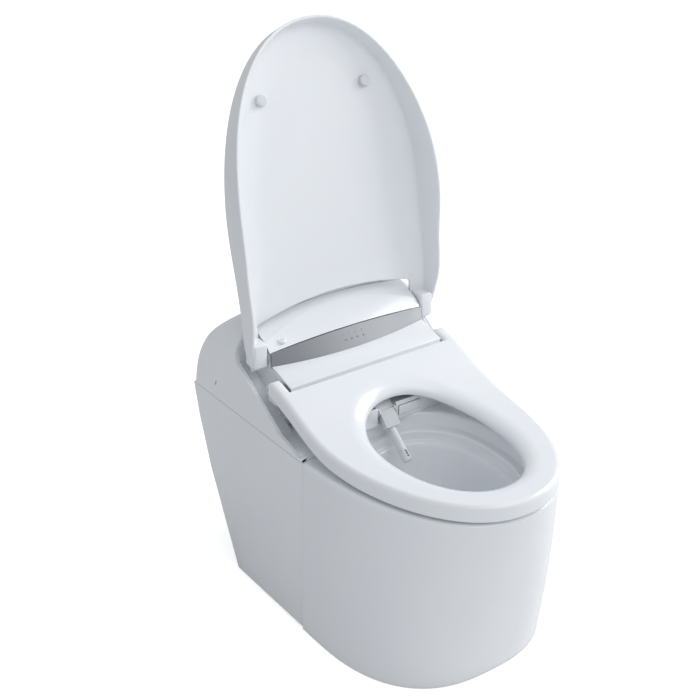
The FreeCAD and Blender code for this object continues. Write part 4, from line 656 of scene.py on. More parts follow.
def loop_normals(loop: Sequence[Plan]) -> list[Plan]:
    """The outward direction at each point of a closed plan loop that runs clockwise seen from above."""
    count = len(loop)
    normals = []
    for n in range(count):
        (x0, y0), (x1, y1), (x2, y2) = loop[n - 1], loop[n], loop[(n + 1) % count]
        a, b = Vector((x1 - x0, y1 - y0)), Vector((x2 - x1, y2 - y1))
        a = a.normalized() if a.length > 1e-6 else b.normalized()
        b = b.normalized() if b.length > 1e-6 else a
        first, second = Vector((-a.y, a.x)), Vector((-b.y, b.x))
        mean = (first + second).normalized()
        stretch = min(1.5, 1 / max(0.5, mean.dot(first)))
        normals.append((mean.x * stretch, mean.y * stretch))
    return normals


def arc_profile(radius_out: float, radius_down: float, count: int) -> list[Plan]:
    """A quarter round from the top face to the side, as outward and downward steps."""
    return [
        (radius_out * math.sin(math.pi / 2 * n / count),
         radius_down * (1 - math.cos(math.pi / 2 * n / count)))
        for n in range(count + 1)
    ]


def column_shares(columns: int, split: float = 0.12) -> list[float]:
    """Where a row's columns lie, as shares of its width, with a narrow first column.

    Args:
        columns: The number of cells.
        split: The share of the width at which the first column ends.

    Returns:
        The shares, one more than there are cells.
    """
    return [0.0] + [split + (1 - split) * n / (columns - 1) for n in range(columns)]


BASIN_LEDGES = (
    (0.0, 320.0), (0.6, 318.6), (2.0, 317.6), (10.0, 316.2), (12.6, 315.2), (13.8, 313.4), (14.0, 311.0),
    (14.0, 300.0), (14.7, 298.3), (16.4, 297.2), (19.0, 296.6), (21.5, 295.4), (23.0, 292.5), (24.5, 286.0))
BASIN_LEVELS = (
    (272.0, 101.0, -284.0, -120.0, 1.0), (255.0, 98.5, -278.5, -120.0, -3.0),
    (235.0, 95.0, -271.0, -120.0, -8.0),
    (215.0, 90.0, -260.0, -119.0, -13.5), (195.0, 82.0, -243.0, -117.0, -21.0),
    (175.0, 72.0, -222.0, -115.0, -30.0),
    (158.0, 61.0, -200.0, -112.0, -40.0), (142.0, 51.0, -178.0, -111.0, -52.0),
    (130.0, 44.0, -164.0, -110.0, -60.0),
    (122.0, 38.0, -153.0, -109.0, -66.0), (117.0, 31.0, -142.0, -107.0, -70.0),
    (112.0, 25.5, -132.0, -104.0, -74.0),
    (100.0, 23.0, -120.0, -98.0, -74.0), (85.0, 22.0, -108.0, -88.0, -66.0))


@dataclass
class CeramicBody:
    """The glazed bowl: skirt, rim, deck, basin and the hidden pedestal."""

    rim: float = 345.0
    seam: float = -8.0
    round_radius: float = 7.0
    foot_round: Plan = (2.4, 3.0)
    lip: float = 10.0
    wall_low: float = 12.0
    wall_steps: int = 26
    around: int = 96
    steps: int = 40
    power: float = 2.15
    deck_half: float = 188.0
    deck_y: tuple[float, ...] = (28.0, 80.0, 200.0, 319.0)
    top_hole: tuple[float, float, float, float] = (134.0, -318.0, -120.0, 34.0)
    mouth: tuple[float, float, float, float] = (128.0, -312.0, -120.0, 28.0)
    mouth_round: tuple[Plan, ...] = ((6.0, 0.0), (4.2, 0.5), (2.0, 1.9), (0.6, 4.0), (0.0, 6.5))
    blocks: tuple[tuple[str, tuple, tuple, float], ...] = (
        ("pedestal", (-125, 36, 2), (125, 205, 340), 6),
        ("deck", (-188, 31, 318), (188, 320, 344.8), 3),
        ("deck_sides", (-188, -7, 318), (-129, 60, 344.7), 3),
        ("deck_sides_right", (129, -7, 318), (188, 60, 344.7), 3),
        ("trough_end_left", (-196.5, -7.8, 345.1), (-165, 1, 351.5), 1.2),
        ("trough_end_right", (165, -7.8, 345.1), (196.5, 1, 351.5), 1.2),
    )
    flange: tuple[tuple, tuple, float] = ((-165, 60, 0), (165, 140, 22), 4)
    bolt_holes: tuple[Plan, ...] = ((-150.0, 100.0), (150.0, 100.0))
    bolt_radius: float = 6.0
    levels: tuple[tuple[float, float, float, float, float], ...] = (
        (0.0, 202.0, -40.0, 284.0, 2.6),
        (170.0, 200.5, -28.0, 319.0, 2.375),
        (345.0, 198.0, -15.0, 343.0, 2.15),
    )

    def outline(self, z: float, inset: float = 0.0) -> list[Plan]:
        """The skirt's closed plan at a height, moved in by inset."""
        knots = [level[0] for level in self.levels]
        values = []
        for n in range(1, 5):
            curve = Spline([(k, level[n]) for k, level in zip(knots, self.levels)])
            values.append(curve(z))
        half, middle, nose, power = values
        left = nose_points(half - inset, middle, nose + middle - inset, power, self.steps)
        sides = [(-(half - inset), y) for y in stations(middle, self.seam, 3, "none")[1:]]
        half_loop = left + sides
        mirrored = [(-x, y) for x, y in reversed(half_loop[1:])]
        return half_loop + mirrored

    def skirt(self) -> Piece:
        """The outer skirt with its rounded rim."""
        rings = []
        draw_in, tall = self.foot_round
        for z in (0.0, 1.2, tall):
            inset = draw_in * (1 - math.sqrt(max(0.0, 1 - (1 - z / tall) ** 2)))
            rings.append([(x, y, z) for x, y in self.outline(z, inset)])
        for z in stations(self.wall_low, self.rim - self.round_radius, self.wall_steps, "none"):
            rings.append([(x, y, z) for x, y in self.outline(z)])
        for out, down in arc_profile(self.round_radius, self.round_radius, 7)[::-1][1:]:
            z = self.rim - down
            rings.append([(x, y, z) for x, y in self.outline(z, self.round_radius - out)])
        rings.append([(x, y, self.rim) for x, y in self.outline(self.rim, self.lip)])
        points = [p for ring in rings for p in ring]
        width = len(rings[0])
        faces = [f for f in grid_faces(len(rings), width, 0, True) if f[0] % width != (width - 1) // 2]
        faces.append(tuple(reversed(range(width))))
        return smooth(from_faces("skirt", points, faces), 50.0)

    def basin_egg(self, inset: float, z: float, half: float, front: float, middle: float,
                  rear: float) -> list[Place]:
        """One closed level ring of the basin."""
        ring = []
        for n in range(self.around):
            turn = 2 * math.pi * n / self.around
            cosine, sine = math.cos(turn), math.sin(turn)
            reach = (middle - front if sine < 0 else rear - middle) - inset
            x, y = bent(cosine, self.power) * (half - inset), middle + bent(sine, self.power) * reach
            ring.append((x, y, z))
        return ring

    def basin(self) -> Piece:
        """The rim's opening, two ledges, the belly and the throat."""
        rings = [self.basin_egg(-out, self.rim - down, *self.mouth) for out, down in self.mouth_round]
        rings += [self.basin_egg(inset, z, *self.mouth) for inset, z in BASIN_LEDGES]
        rings += [self.basin_egg(0.0, *level) for level in BASIN_LEVELS]
        piece = from_rows("basin", rings, closed=True, last=True)
        with editing(piece):
            bpy.ops.mesh.flip_normals()
        return smooth(piece, 60.0)

    def rim_top(self) -> Piece:
        """The level top between the skirt's lip, the basin and the deck's edges."""
        outer = self.outline(self.rim, self.lip)
        half = outer[: len(outer) // 2 + 1]
        deck = [(-self.deck_half, y) for y in (self.seam, *self.deck_y)]
        left = half + deck
        hole, front, middle, rear = self.top_hole
        inner = []
        for x, y in left:
            if y <= front or y >= rear:
                inner.append((0.0, y))
                continue
            share = min(1.0, abs(y - middle) / (middle - front if y < middle else rear - middle))
            inner.append((-hole * max(0.0, 1 - share**self.power) ** (1 / self.power), y))
        points, faces = [], []
        for sign in (1, -1):
            start = len(points)
            for (x, y), (u, w) in zip(left, inner):
                points += [(sign * x, y, self.rim), (sign * u, w, self.rim)]
            faces += grid_faces(len(left), 2, start)
        piece = from_faces("rim_top", points, faces)
        return smooth(piece, 30.0)

    def make(self, palette: Palette) -> None:
        """Build and dress the ceramic."""
        skirt = self.skirt()
        basin = self.basin()
        rim = self.rim_top()
        for piece in (basin, rim):
            finish_piece(piece, "base", palette, GLAZE)
        finish_piece(skirt, "base", palette, GLAZE, "ceramic_bowl")
        for name, low, high, edge in self.blocks:
            finish_piece(block(name, low, high, edge), "base", palette, GLAZE)
        flange = block("foot_flange", *self.flange)
        self.drill(flange)
        finish_piece(smooth(flange, 40.0), "base", palette, GLAZE)

    def drill(self, piece: Piece) -> None:
        """Cut the upright bolt holes through a piece."""
        for x, y in self.bolt_holes:
            tool = rod(self.bolt_radius, 200.0, (x, y, 0.0), 32)
            modified(piece, "BOOLEAN", operation="DIFFERENCE", object=tool, solver="EXACT")
            bpy.data.objects.remove(tool, do_unlink=True)


# Outward and downward steps: the seat's edge and its hole's edge below their rounds, and the edge of the
# sheet under it.
EDGE_TAIL = ((9.0, 14.0), (9.0, 21.0), (9.0, 25.0), (8.8, 27.6), (8.0, 29.0), (6.6, 29.7))
ROLL_TAIL = ((28.0, 17.4), (27.6, 19.0), (26.6, 20.4), (25.0, 21.6), (18.0, 24.6), (8.0, 28.0))
UNDER_EDGE = ((0.0, 0.0), (0.6, 0.3), (1.0, 1.0), (1.0, 2.0), (0.6, 2.6))
SEAT_TOP = ((140, 450), (106, 444), (52, 428), (0, 406), (-45, 391.5), (-100, 384), (-200, 381), (-380, 381))


@dataclass
class WashingSeat:
    """The heated seat ring with its soft inner roll and rear ears."""

    half: float = 188.5
    middle: float = -20.0
    nose: float = 347.0
    power: float = 2.15
    rear: float = 106.0
    notch_x: float = 166.0
    notch_y: float = 74.0
    hole: tuple[float, float, float, float] = (107.0, -287.0, -120.0, 14.0)
    thick: float = 29.8
    recess: float = 24.0
    underside: Place = (5.0, 26.7, 3.2)
    nozzle_x: float = -4.5
    groove: Place = (38.0, 34.0, 14.0)
    groove_in: float = 16.0
    groove_out: float = 33.0
    hole_steps: int = 56
    columns: int = 14
    top: Spline = field(default_factory=lambda: Spline(SEAT_TOP))

    def outer_at(self, y: float, inset: float) -> float:
        """The outline's half width at y, moved in by inset."""
        reach = self.nose + self.middle - inset
        return half_width(self.half - inset, self.middle, reach, self.power, y)

    def rows(self, inset: float, grow: float) -> list[Place]:
        """The sheet's rows: y, outer half width, inner half width."""
        half, front, middle, rear = self.hole
        nose = nose_points(self.half - inset, self.middle, self.nose + self.middle - inset, self.power, 60)
        low, high = front - grow, rear + grow
        rows = [(y, -x, 0.0) for x, y in nose if y < low - 0.5]
        count = self.hole_steps
        for n in range(count + 1):
            turn = math.pi * n / count - math.pi / 2
            sine = math.sin(turn)
            reach = (middle - low) if sine < 0 else (high - middle)
            y = middle + bent(sine, self.power) * reach
            inner = (half + grow) * bent(abs(math.cos(turn)), self.power)
            rows.append((y, self.outer_at(y, inset), inner))
        for y in stations(high, self.notch_y - inset, 5, "none")[1:]:
            rows.append((y, self.half - inset, 0.0))
        return rows

    def solid(self, name: str, inset: float, drop: float, thick: float, edge: list[Plan], roll: list[Plan],
              recess: float = 0.0) -> Piece:
        """A closed slab that follows the seat's top line.

        Args:
            name: The piece's name.
            inset: How far its sides stand inside the outline.
            drop: How far its top face lies under the seat's top line.
            thick: Its thickness.
            edge: The outer edge's profile from the top face outwards and down.
            roll: The same at the hole.
            recess: How far its hole stands outside the seat's.

        Returns:
            The piece.
        """
        reach, grow = max(out for out, _ in edge), max(out for out, _ in roll)
        rows = self.rows(inset + reach, grow + recess)
        shares = column_shares(self.columns)
        ears = stations(self.notch_y - inset - reach, self.rear - inset - reach, 4, "none")[1:]
        points: list[Place] = []
        faces: list[tuple[int, ...]] = []
        width = len(shares)
        split = (self.half - inset - reach - self.notch_x - inset - reach) / (self.half - inset - reach)
        for level, flip in ((drop, False), (drop + thick, True)):
            for sign in (-1, 1):
                start = len(points)
                for y, outer, inner in rows:
                    for c, share in enumerate(shares):
                        at = share if c != 1 else split
                        x = sign * (outer + (inner - outer) * at)
                        points.append((x, y, self.top(y) - self.shallow(x, y, level, level - drop)))
                band = grid_faces(len(rows), width, start)
                base = start + (len(rows) - 1) * width
                ear_start = len(points)
                outer = rows[-1][1]
                for y in ears:
                    for x in (outer, outer * (1 - split)):
                        points.append((sign * x, y, self.top(y) - level))
                band.append((base, base + 1, ear_start + 1, ear_start))
                band += grid_faces(len(ears), 2, ear_start)
                faces += [tuple(reversed(f)) for f in band] if flip else band
        loops = self.loops(rows, shares, ears, split)
        for loop, profile in zip(loops, (edge, roll)):
            normals = loop_normals(loop)
            start = len(points)
            rings = [*profile, (0.0, thick)]
            for out, down in rings:
                for (x, y), (nx, ny) in zip(loop, normals):
                    x, y = x + nx * out, y + ny * out
                    points.append((x, y, self.top(y) - self.shallow(x, y, drop + down, down)))
            faces += grid_faces(len(rings), len(loop), start, True)
        piece = from_faces(name, points, faces)
        return smooth(piece, 38.0)

    def shallow(self, x: float, y: float, deep: float, own: float) -> float:
        """A depth under the top line, less over the drawn-back nozzle at the rear.

        Args:
            x: The place across.
            y: The place along.
            deep: The depth that the shells have elsewhere.
            own: The depth below the shell's own top face.

        Returns:
            The depth at this place.
        """
        far, start, fade = self.groove
        near = ease((far - abs(x - self.nozzle_x)) / fade) * ease((y - start) / fade)
        return min(deep, self.groove_out + (self.groove_in - self.groove_out) * near + 0.1 * own)

    def loops(self, rows: list, shares: list[float], ears: list[float],
              split: float) -> tuple[list[Plan], list[Plan]]:
        """The closed plan loops of the outer edge and the hole, both clockwise seen from above."""
        outer = [(-o, y) for y, o, _ in rows]
        last_y, last_o, _ = rows[-1]
        outer += [(-last_o, y) for y in ears]
        outer.append((-last_o * (1 - split), ears[-1]))
        outer += [(-last_o * (1 - split), y) for y in reversed(ears[:-1])]
        outer.append((-last_o * (1 - split), last_y))
        outer += [(-last_o * (1 - share), last_y) for share in shares[2:]]
        left = outer
        right = [(-x, y) for x, y in reversed(left[1:-1])]
        start = next(n for n, row in enumerate(rows) if row[2] > 1e-6) - 1
        end = start + self.hole_steps
        ring = [(-rows[n][2], rows[n][0]) for n in range(start, end + 1)]
        hole = list(reversed(ring)) + [(-x, y) for x, y in ring[1:-1]]
        return left + right, hole

    def make(self, palette: Palette) -> None:
        """Build and dress the seat."""
        upper = self.solid("seat_ring", 0.0, 0.0, self.thick, arc_profile(9.0, 8.0, 8) + list(EDGE_TAIL),
                           arc_profile(28.0, 15.0, 16) + list(ROLL_TAIL))
        finish_piece(upper, "seat", palette, SEAT, "seat_upper", "seat_lower")
        lower = self.solid("seat_underside", *self.underside, list(UNDER_EDGE), list(UNDER_EDGE), self.recess)
        finish_piece(lower, "seat", palette, SEAT)


LID_TOP = ((192, 478), (160, 489), (130, 482), (102, 472), (0, 450), (-150, 421), (-260, 404), (-390, 391))
LID_RIM = ((192, 478), (160, 456), (106, 421), (49, 404), (-9, 384), (-69, 370), (-127, 362), (-250, 358),
           (-390, 358))


@dataclass
class DishedLid:
    """The raised lid, drawn shut and then turned open about its pins."""

    axis: Plan = (160.0, 475.0)
    angle: float = 112.0
    half: float = 205.0
    middle: float = -20.0
    nose: float = 366.0
    draft: float = 0.12
    half_z: float = 385.0
    nose_z: float = 358.0
    power: float = 2.15
    notch_x: float = 165.5
    notch_front: float = 94.0
    notch_bow: float = 22.0
    notch_corner: float = 4.0
    tail: float = 191.5
    floor: float = 6.0
    edge: Plan = (8.0, 6.0)
    rim_round: tuple[Plan, ...] = ((0.0, -1.6), (0.35, -0.6), (1.4, 0.0), (3.4, 0.0), (4.6, -0.6),
                                   (5.0, -1.6))
    wall: float = 5.0
    cove: Place = (4.5, 5.2, 1.2)
    slope: float = 9.0
    room: float = 60.0
    arm_room: float = 29.0
    squeeze_y: Plan = (15.0, 72.0)
    rise_y: Plan = (-300.0, 80.0)
    least_rise: float = 0.75
    cover_x: Plan = (165.8, 193.0)
    cover_low: Plan = (139.3, 450.0)
    cover_high: Plan = (171.3, 496.0)
    cover_edge: float = 5.0
    foot: Place = (105.0, -247.0, 393.6)
    foot_radius: float = 10.0
    foot_height: float = 9.0
    top: Spline = field(default_factory=lambda: Spline(LID_TOP))
    rim: Spline = field(default_factory=lambda: Spline(LID_RIM))

    def plan_at(self, z: float) -> Plan:
        """Half width and nose reach at a height of the drafted wall."""
        return self.half - self.draft * (z - self.half_z), self.nose - self.draft * (z - self.nose_z)

    def notch_at(self, y: float) -> float:
        """The half width of the rear cut-out at y."""
        bow_end, flat = self.notch_front + self.notch_bow, self.notch_x - self.notch_corner
        if y >= bow_end + self.notch_corner:
            return self.notch_x
        if y >= bow_end:
            left = 1.0 - (y - bow_end) / self.notch_corner
            return flat + self.notch_corner * math.sqrt(1.0 - left * left)
        return flat * math.sqrt(max(0.0, (y - self.notch_front) / self.notch_bow))

    def rows(self) -> list[float]:
        """Where the sheet's rows lie beside the cut-out."""
        end = self.notch_front + self.notch_bow
        flat = end + self.notch_corner
        corner = stations(end, flat, 4, "none")[1:]
        rear = stations(flat, self.tail, 15, "high")[1:]
        return stations(self.notch_front, end, 10, "low")[1:] + corner + rear

    def outer_loop(self, steps: int = 44) -> list[tuple[str, float, float]]:
        """The left outline from nose to tail.

        Returns:
            Kind of place, share of the nose's turn, and y behind the nose.
        """
        loop = [("nose", n / steps, 0.0) for n in range(steps + 1)]
        loop += [("side", 1.0, y) for y in stations(self.middle, self.notch_front, 10, "none")[1:]]
        loop += [("side", 1.0, y) for y in self.rows()]
        return loop

    def point(self, kind: str, share: float, y: float, z: float, inset: float) -> Plan:
        """A plan place on the left wall at a height."""
        half, nose = self.plan_at(z)
        if kind == "side":
            return -(half - inset), y
        turn = math.pi / 2 * (1 - share)
        reach = nose + self.middle - inset
        x = -(half - inset) * bent(math.cos(turn), self.power)
        return x, self.middle - reach * bent(math.sin(turn), self.power)

    def shell(self) -> Piece:
        """The lid's dish as one closed shell."""
        loop = self.outer_loop()
        tail = len(loop)
        profile = self.profile()
        points: list[Place] = []
        faces: list[tuple[int, ...]] = []
        rings: list[list[int]] = []
        for ring in profile:
            row = []
            for sign in (1, -1):
                for kind, share, y in loop:
                    row.append(len(points))
                    x, place, z = self.ring_point(kind, share, y, ring)
                    points.append((sign * x, place, z))
            rings.append(row)
        for upper, lower in zip(rings, rings[1:]):
            for base in (0, tail):
                for n in range(tail - 1):
                    a, b = upper[base + n], upper[base + n + 1]
                    faces.append((a, b, lower[base + n + 1], lower[base + n]))
        first_side = next(n for n, item in enumerate(loop)
                          if item[0] == "side" and item[2] > self.notch_front)
        for row, under in ((rings[0], 0.0), (rings[-1], self.floor)):
            self.fill(points, faces, row, tail, first_side, under)
        self.close_notch(points, faces, rings, tail)
        piece = from_faces("lid_dish", points, faces)
        return piece

    def profile(self) -> list[Place]:
        """Rings from the top face over the edge, down the wall, round the rim and up inside.

        Returns:
            For each ring its inset, its share of the wall's height, and a step down in millimetres.
        """
        out_round, down_round = self.edge
        rings = [(26.0, 0.0, 0.0), (out_round, 0.0, 0.0)]
        rings += [(out_round - out, 0.0, down) for out, down in arc_profile(out_round, down_round, 7)[1:]]
        rings += [(0.0, share, down_round) for share in (0.2, 0.45, 0.7, 0.9)]
        rings += [(inset, 1.0, up) for inset, up in self.rim_round]
        across, tall, fall = self.cove
        inner, low = self.wall + 2.0 + across, self.floor + self.slope + 4.0
        rings += [(self.wall + 1.5 * (1 - share), share, low) for share in (0.9, 0.6, 0.3)]
        for n in range(7):
            turn = math.pi / 2 * n / 6
            rings.append((inner - across * math.cos(turn), 0.0, low - tall * math.sin(turn)))
        rings += [(inner + (self.room - inner) * n / 6, 0.0, self.floor + (self.slope - fall) * (1 - n / 6))
                  for n in range(1, 7)]
        return rings

    def squeeze(self, y: float) -> float:
        """The share of the inner slope's width that there is room for at y."""
        start, length = self.squeeze_y
        least = (self.arm_room - self.wall) / (self.room - self.wall)
        return 1.0 - (1.0 - least) * ease((y - start) / length)

    def rise(self, y: float) -> float:
        """The share of the inner slope's rise at y, less at the nose, where the seat lies close."""
        start, length = self.rise_y
        return self.least_rise + (1.0 - self.least_rise) * ease((y - start) / length)

    def ring_point(self, kind: str, share: float, y: float, ring: Place) -> Place:
        """A point of one ring."""
        inset, down, step = ring
        y_at = y if kind == "side" else self.point(kind, share, y, 400.0, inset)[1]
        top, rim = self.top(y_at), self.rim(y_at)
        tall = max(0.8, top - rim)
        limit = min(1.0, tall / 30.0)
        if inset > self.wall:
            inset = self.wall + (inset - self.wall) * limit * self.squeeze(y_at)
        if step > self.floor:
            step = self.floor + (step - self.floor) * self.rise(y_at)
        if step >= 0:
            start = min(step, tall * 0.92)
            z = top - start - down * (tall - start)
        else:
            z = top - down * tall - step * limit
        z = max(z, top - tall)
        x, place = self.point(kind, share, y, z, inset)
        return x, place, z

    def fill(self, points: list, faces: list, row: list[int], tail: int, first_side: int,
             under: float) -> None:
        """Close the top or the floor between the two sides and up to the cut-out."""
        columns = 10
        for sign_base in (0, tail):
            previous = None
            for n in range(tail):
                index = row[sign_base + n]
                x, y, _ = points[index]
                line = [index]
                notch = self.notch_at(y) if n >= first_side else 0.0
                for c in range(1, columns + 1):
                    target = math.copysign(notch, x) if n >= first_side else 0.0
                    line.append(len(points))
                    points.append((x + (target - x) * c / columns, y, self.top(y) - under))
                if previous is not None:
                    for c in range(columns):
                        faces.append((previous[c], previous[c + 1], line[c + 1], line[c]))
                previous = line

    def close_notch(self, points: list, faces: list, rings: list, tail: int) -> None:
        """Join the top and the floor along the cut-out and close the two tips."""
        for sign in (-1, 1):
            line = []
            for x, y in [(0.0, self.notch_front)] + [(self.notch_at(y), y) for y in self.rows()]:
                line.append(len(points))
                points += [(sign * x, y, self.top(y)), (sign * x, y, self.top(y) - self.floor)]
            faces += [(a, b, b + 1, a + 1) for a, b in zip(line, line[1:])]
        for base in (0, tail):
            faces.append(tuple(ring[base + tail - 1] for ring in rings))

    def turned(self, piece: Piece) -> Piece:
        """Turn a piece that is drawn shut to its place at rest."""
        pivot = Vector((0, self.axis[0] * MM, self.axis[1] * MM))
        turn = Matrix.Rotation(math.radians(-self.angle), 4, "X")
        piece.data.transform(Matrix.Translation(pivot) @ turn @ Matrix.Translation(-pivot))
        piece.data.update()
        return piece

    def hinge_covers(self) -> Piece:
        """The two rounded blocks between the arms and the hinge towers."""
        near, far = self.cover_x
        low, high = self.cover_low, self.cover_high
        pieces = [block("hinge_cover", (a, *low), (b, *high), self.cover_edge, 4)
                  for a, b in ((-far, -near), (near, far))]
        return smooth(joined("hinge_covers", pieces), 40.0)

    def bumpers(self) -> Piece:
        """Two soft round feet with a domed face."""
        pieces, (across, along, up) = [], self.foot
        for sign in (-1, 1):
            foot = rod(self.foot_radius, self.foot_height, (sign * across, along, up), 40)
            pieces.append(bevelled(settle(foot), 2.2 * MM, 4))
        return joined("lid_feet", pieces)

    def make(self, palette: Palette) -> None:
        """Build and dress the lid."""
        shell = smooth(self.turned(self.shell()), 40.0)
        finish_piece(shell, "lid", palette, GLOSS, "lid")
        finish_piece(smooth(self.turned(self.bumpers()), 40.0), "lid", palette, BUMPER, "lid_bumpers")
        finish_piece(self.hinge_covers(), "lid", palette, GLOSS, "lid_hinge_blocks")


@dataclass
class RearCasing:
    """The white shell: rear dome, side walls, ridge lips and troughs."""

    low: float = 345.6
    half: float = 200.0
    front: float = 197.0
    wall: float = 3.2
    level_z: Place = (446.0, 449.0, 508.0)
    brow_z: Plan = (447.0, 449.5)
    curl_x: float = 165.0
    least_round: float = 0.6
    more_round: float = 5.4
    round_z: tuple[Plan, Plan] = ((449.0, 14.0), (507.0, 10.0))
    lip_x: float = 199.7
    arm_width: float = 36.6
    cove: float = 13.0
    trough_deep: float = 22.0
    trough_floor: float = 351.7
    narrowing: float = 15.7
    tilt: float = 85.0
    lean: float = 88.0
    slit_place: Place = (-200.05, 278.0, 381.0)
    slit_radius: float = 16.0
    slit_width: float = 1.6
    slit_angles: tuple[float, ...] = (-36.0, -27.0, -18.0, -9.0, 0.0)
    dome: Spline = field(default_factory=lambda: Spline(
        ((177, 526), (222, 522), (262, 498), (305, 455), (334, 405), (347, 345.3))))
    shoulder: Spline = field(default_factory=lambda: Spline(
        ((452, 200), (508, 162), (526, 0)), (1, 0), (0, -1)))
    corner: Spline = field(default_factory=lambda: Spline(((345, 12), (420, 20), (490, 31), (526, 34))))
    ridge: tuple[Plan, ...] = ((-8, 347), (60, 366), (114, 400), (169, 436), (190, 447))
    curl: tuple[Place, ...] = ((199.7, 190, 447), (199.8, 194.5, 470), (194, 196.6, 483), (166, 196.8, 484))
    lip: tuple[Plan, ...] = ((0, 5), (0, 1.4), (0.4, 0.5), (1.3, 0), (2.2, 0.1), (3.2, 0.9), (4.4, 1.3),
                             (5.6, 1.2), (6.6, 0.9), (7.4, 1.0), (8.2, 1.8))

    def ridge_z(self, y: float) -> float:
        """The height of the ridge at y."""
        for (a, p), (b, q) in zip(self.ridge, self.ridge[1:]):
            if y <= b:
                return p + (q - p) * (y - a) / (b - a)
        return self.ridge[-1][1]

    def ridge_y(self, z: float) -> float:
        """Where the ridge reaches a height."""
        for (a, p), (b, q) in zip(self.ridge, self.ridge[1:]):
            if z <= q:
                return max(self.ridge[0][0], a + (b - a) * (z - p) / (q - p))
        return self.front

    def rear_y(self, z: float) -> float:
        """How far the dome reaches back at a height."""
        low, high = self.front, 347.0
        for _ in range(30):
            middle = (low + high) / 2
            if self.dome(middle) > z:
                low = middle
            else:
                high = middle
        return low

    def rounding(self, z: float) -> float:
        """The radius of the dome's front edge at a height."""
        (start, rise), (end, fall) = self.round_z
        return self.least_round + self.more_round * ease((z - start) / rise) * ease((end - z) / fall)

    def skin(self) -> Piece:
        """The outer skin as level contours, thickened inwards."""
        top = self.dome(self.front) - 0.2
        joint, start, crown = self.level_z
        levels = stations(self.low, joint, 18, "none") + stations(start, crown, 20, "none")
        levels += stations(crown, top, 16, "high")[1:]
        rows = [[(x, y, z) for x, y in self.contour(z)] for z in levels]
        return smooth(walled(from_rows("casing_skin", rows, last=True), self.wall), 50.0)

    def contour(self, z: float) -> list[Plan]:
        """The skin's open outline at a height, from the left front round the rear."""
        half, rear = self.shoulder(z), self.rear_y(z)
        start = self.ridge_y(z) if z < self.ridge[-1][1] else self.front + self.rounding(z)
        start = min(start, rear - 0.5)
        radius = min(self.corner(z), half * 0.9, max(0.4, rear - start - 0.05))
        left = [(-half, y) for y in stations(start, rear - radius, 22, "none")]
        count = 16
        for n in range(1, count + 1):
            turn = math.pi / 2 * n / count
            left.append((-half + radius * (1 - math.cos(turn)), rear - radius + radius * math.sin(turn)))
        inner = half - radius
        left += [(-inner * (1 - n / 10), rear) for n in range(1, 11)]
        return left + [(-x, y) for x, y in reversed(left[:-1])]

    def curl_at(self, share: float) -> Place:
        """The lip's place where it leaves the trough and turns inwards, on the right side."""
        a, b, c, d = (1 - share) ** 3, 3 * share * (1 - share) ** 2, 3 * share**2 * (1 - share), share**3
        return tuple(a * p + b * q + c * r + d * t for p, q, r, t in zip(*self.curl))

    def brow(self, side: Side) -> Piece:
        """The rounded front face of the dome, between its skin and the lip."""
        sign, top = side.value, self.dome(self.front) - 0.2
        edge = [(self.half, z) for z in self.brow_z]
        edge += [(w, z) for z, w in self.shoulder.table[::5] if z < top]
        outer = sum(1 for w, _ in edge if w > self.curl_x)
        points, width = [], 9
        for n, (x, z) in enumerate(edge):
            (x0, z0), (x1, z1) = edge[max(0, n - 1)], edge[min(len(edge) - 1, n + 1)]
            along = Vector((x1 - x0, z1 - z0)).normalized()
            radius = self.rounding(z)
            for c in range(width - 1):
                turn = math.pi / 2 * c / (width - 2)
                deep = radius * (1 - math.cos(turn))
                points.append((sign * (x - along.y * deep), self.front + radius * (1 - math.sin(turn)),
                               z + along.x * deep))
            if n < outer:
                place = self.curl_at(n / outer)
                points.append((sign * place[0], place[1] + 0.4, place[2]))
            else:
                points.append((sign * x, self.front + 0.3, z - 9.0))
        return smooth(from_faces(f"brow_{side.name.lower()}", points, grid_faces(len(edge), width)), 60.0)

    def section(self, deep: float, bottom: float, wide: float) -> list[Plan]:
        """A trough's section as inward and downward steps from the lip's outer edge."""
        start, drop = self.lip[-1]
        cove = []
        for n in range(1, 9):
            turn = math.pi / 2 * n / 8
            cove.append((start + self.cove * (1 - math.cos(turn)), drop + (deep - drop) * math.sin(turn)))
        return [*self.lip, *cove, (wide - 1.2, deep), (wide, deep + 0.6), (wide, bottom), (3.0, bottom),
                (0, 8)]

    def arm(self, side: Side) -> Piece:
        """One ridge lip with its trough, which turns up and inwards at the dome."""
        sign = side.value
        rows = []
        for y in stations(self.ridge[0][0], self.ridge[-1][0], 44, "none"):
            top = self.ridge_z(y)
            deep = top - max(top - self.trough_deep, self.trough_floor)
            bottom = max(deep + 1.2, min(deep + 3.0, top - self.low))
            rows.append([(sign * (self.lip_x - u), y, max(top - w, self.low))
                         for u, w in self.section(deep, bottom, self.arm_width)])
        for n in range(1, 15):
            share = n / 14
            x, y, z = self.curl_at(share)
            tilt, lean = math.radians(self.tilt) * ease(share), math.radians(self.lean) * ease(share * 1.3)
            wide = self.arm_width - self.narrowing * share
            rows.append([(sign * (x - u * math.cos(tilt)), y + w * math.sin(lean),
                          z - u * math.sin(tilt) - w * math.cos(lean))
                         for u, w in self.section(self.trough_deep, self.trough_deep + 3.0, wide)])
        return smooth(from_rows(f"ridge_{side.name.lower()}", rows, closed=True, first=True, last=True), 40.0)

    def tab(self) -> Piece:
        """The small tab low on the left, a hair proud of the skin."""
        return block("seam_tab", (-200.15, 136.0, self.low), (-192.15, 154.0, 354.0), 0.5, 2)

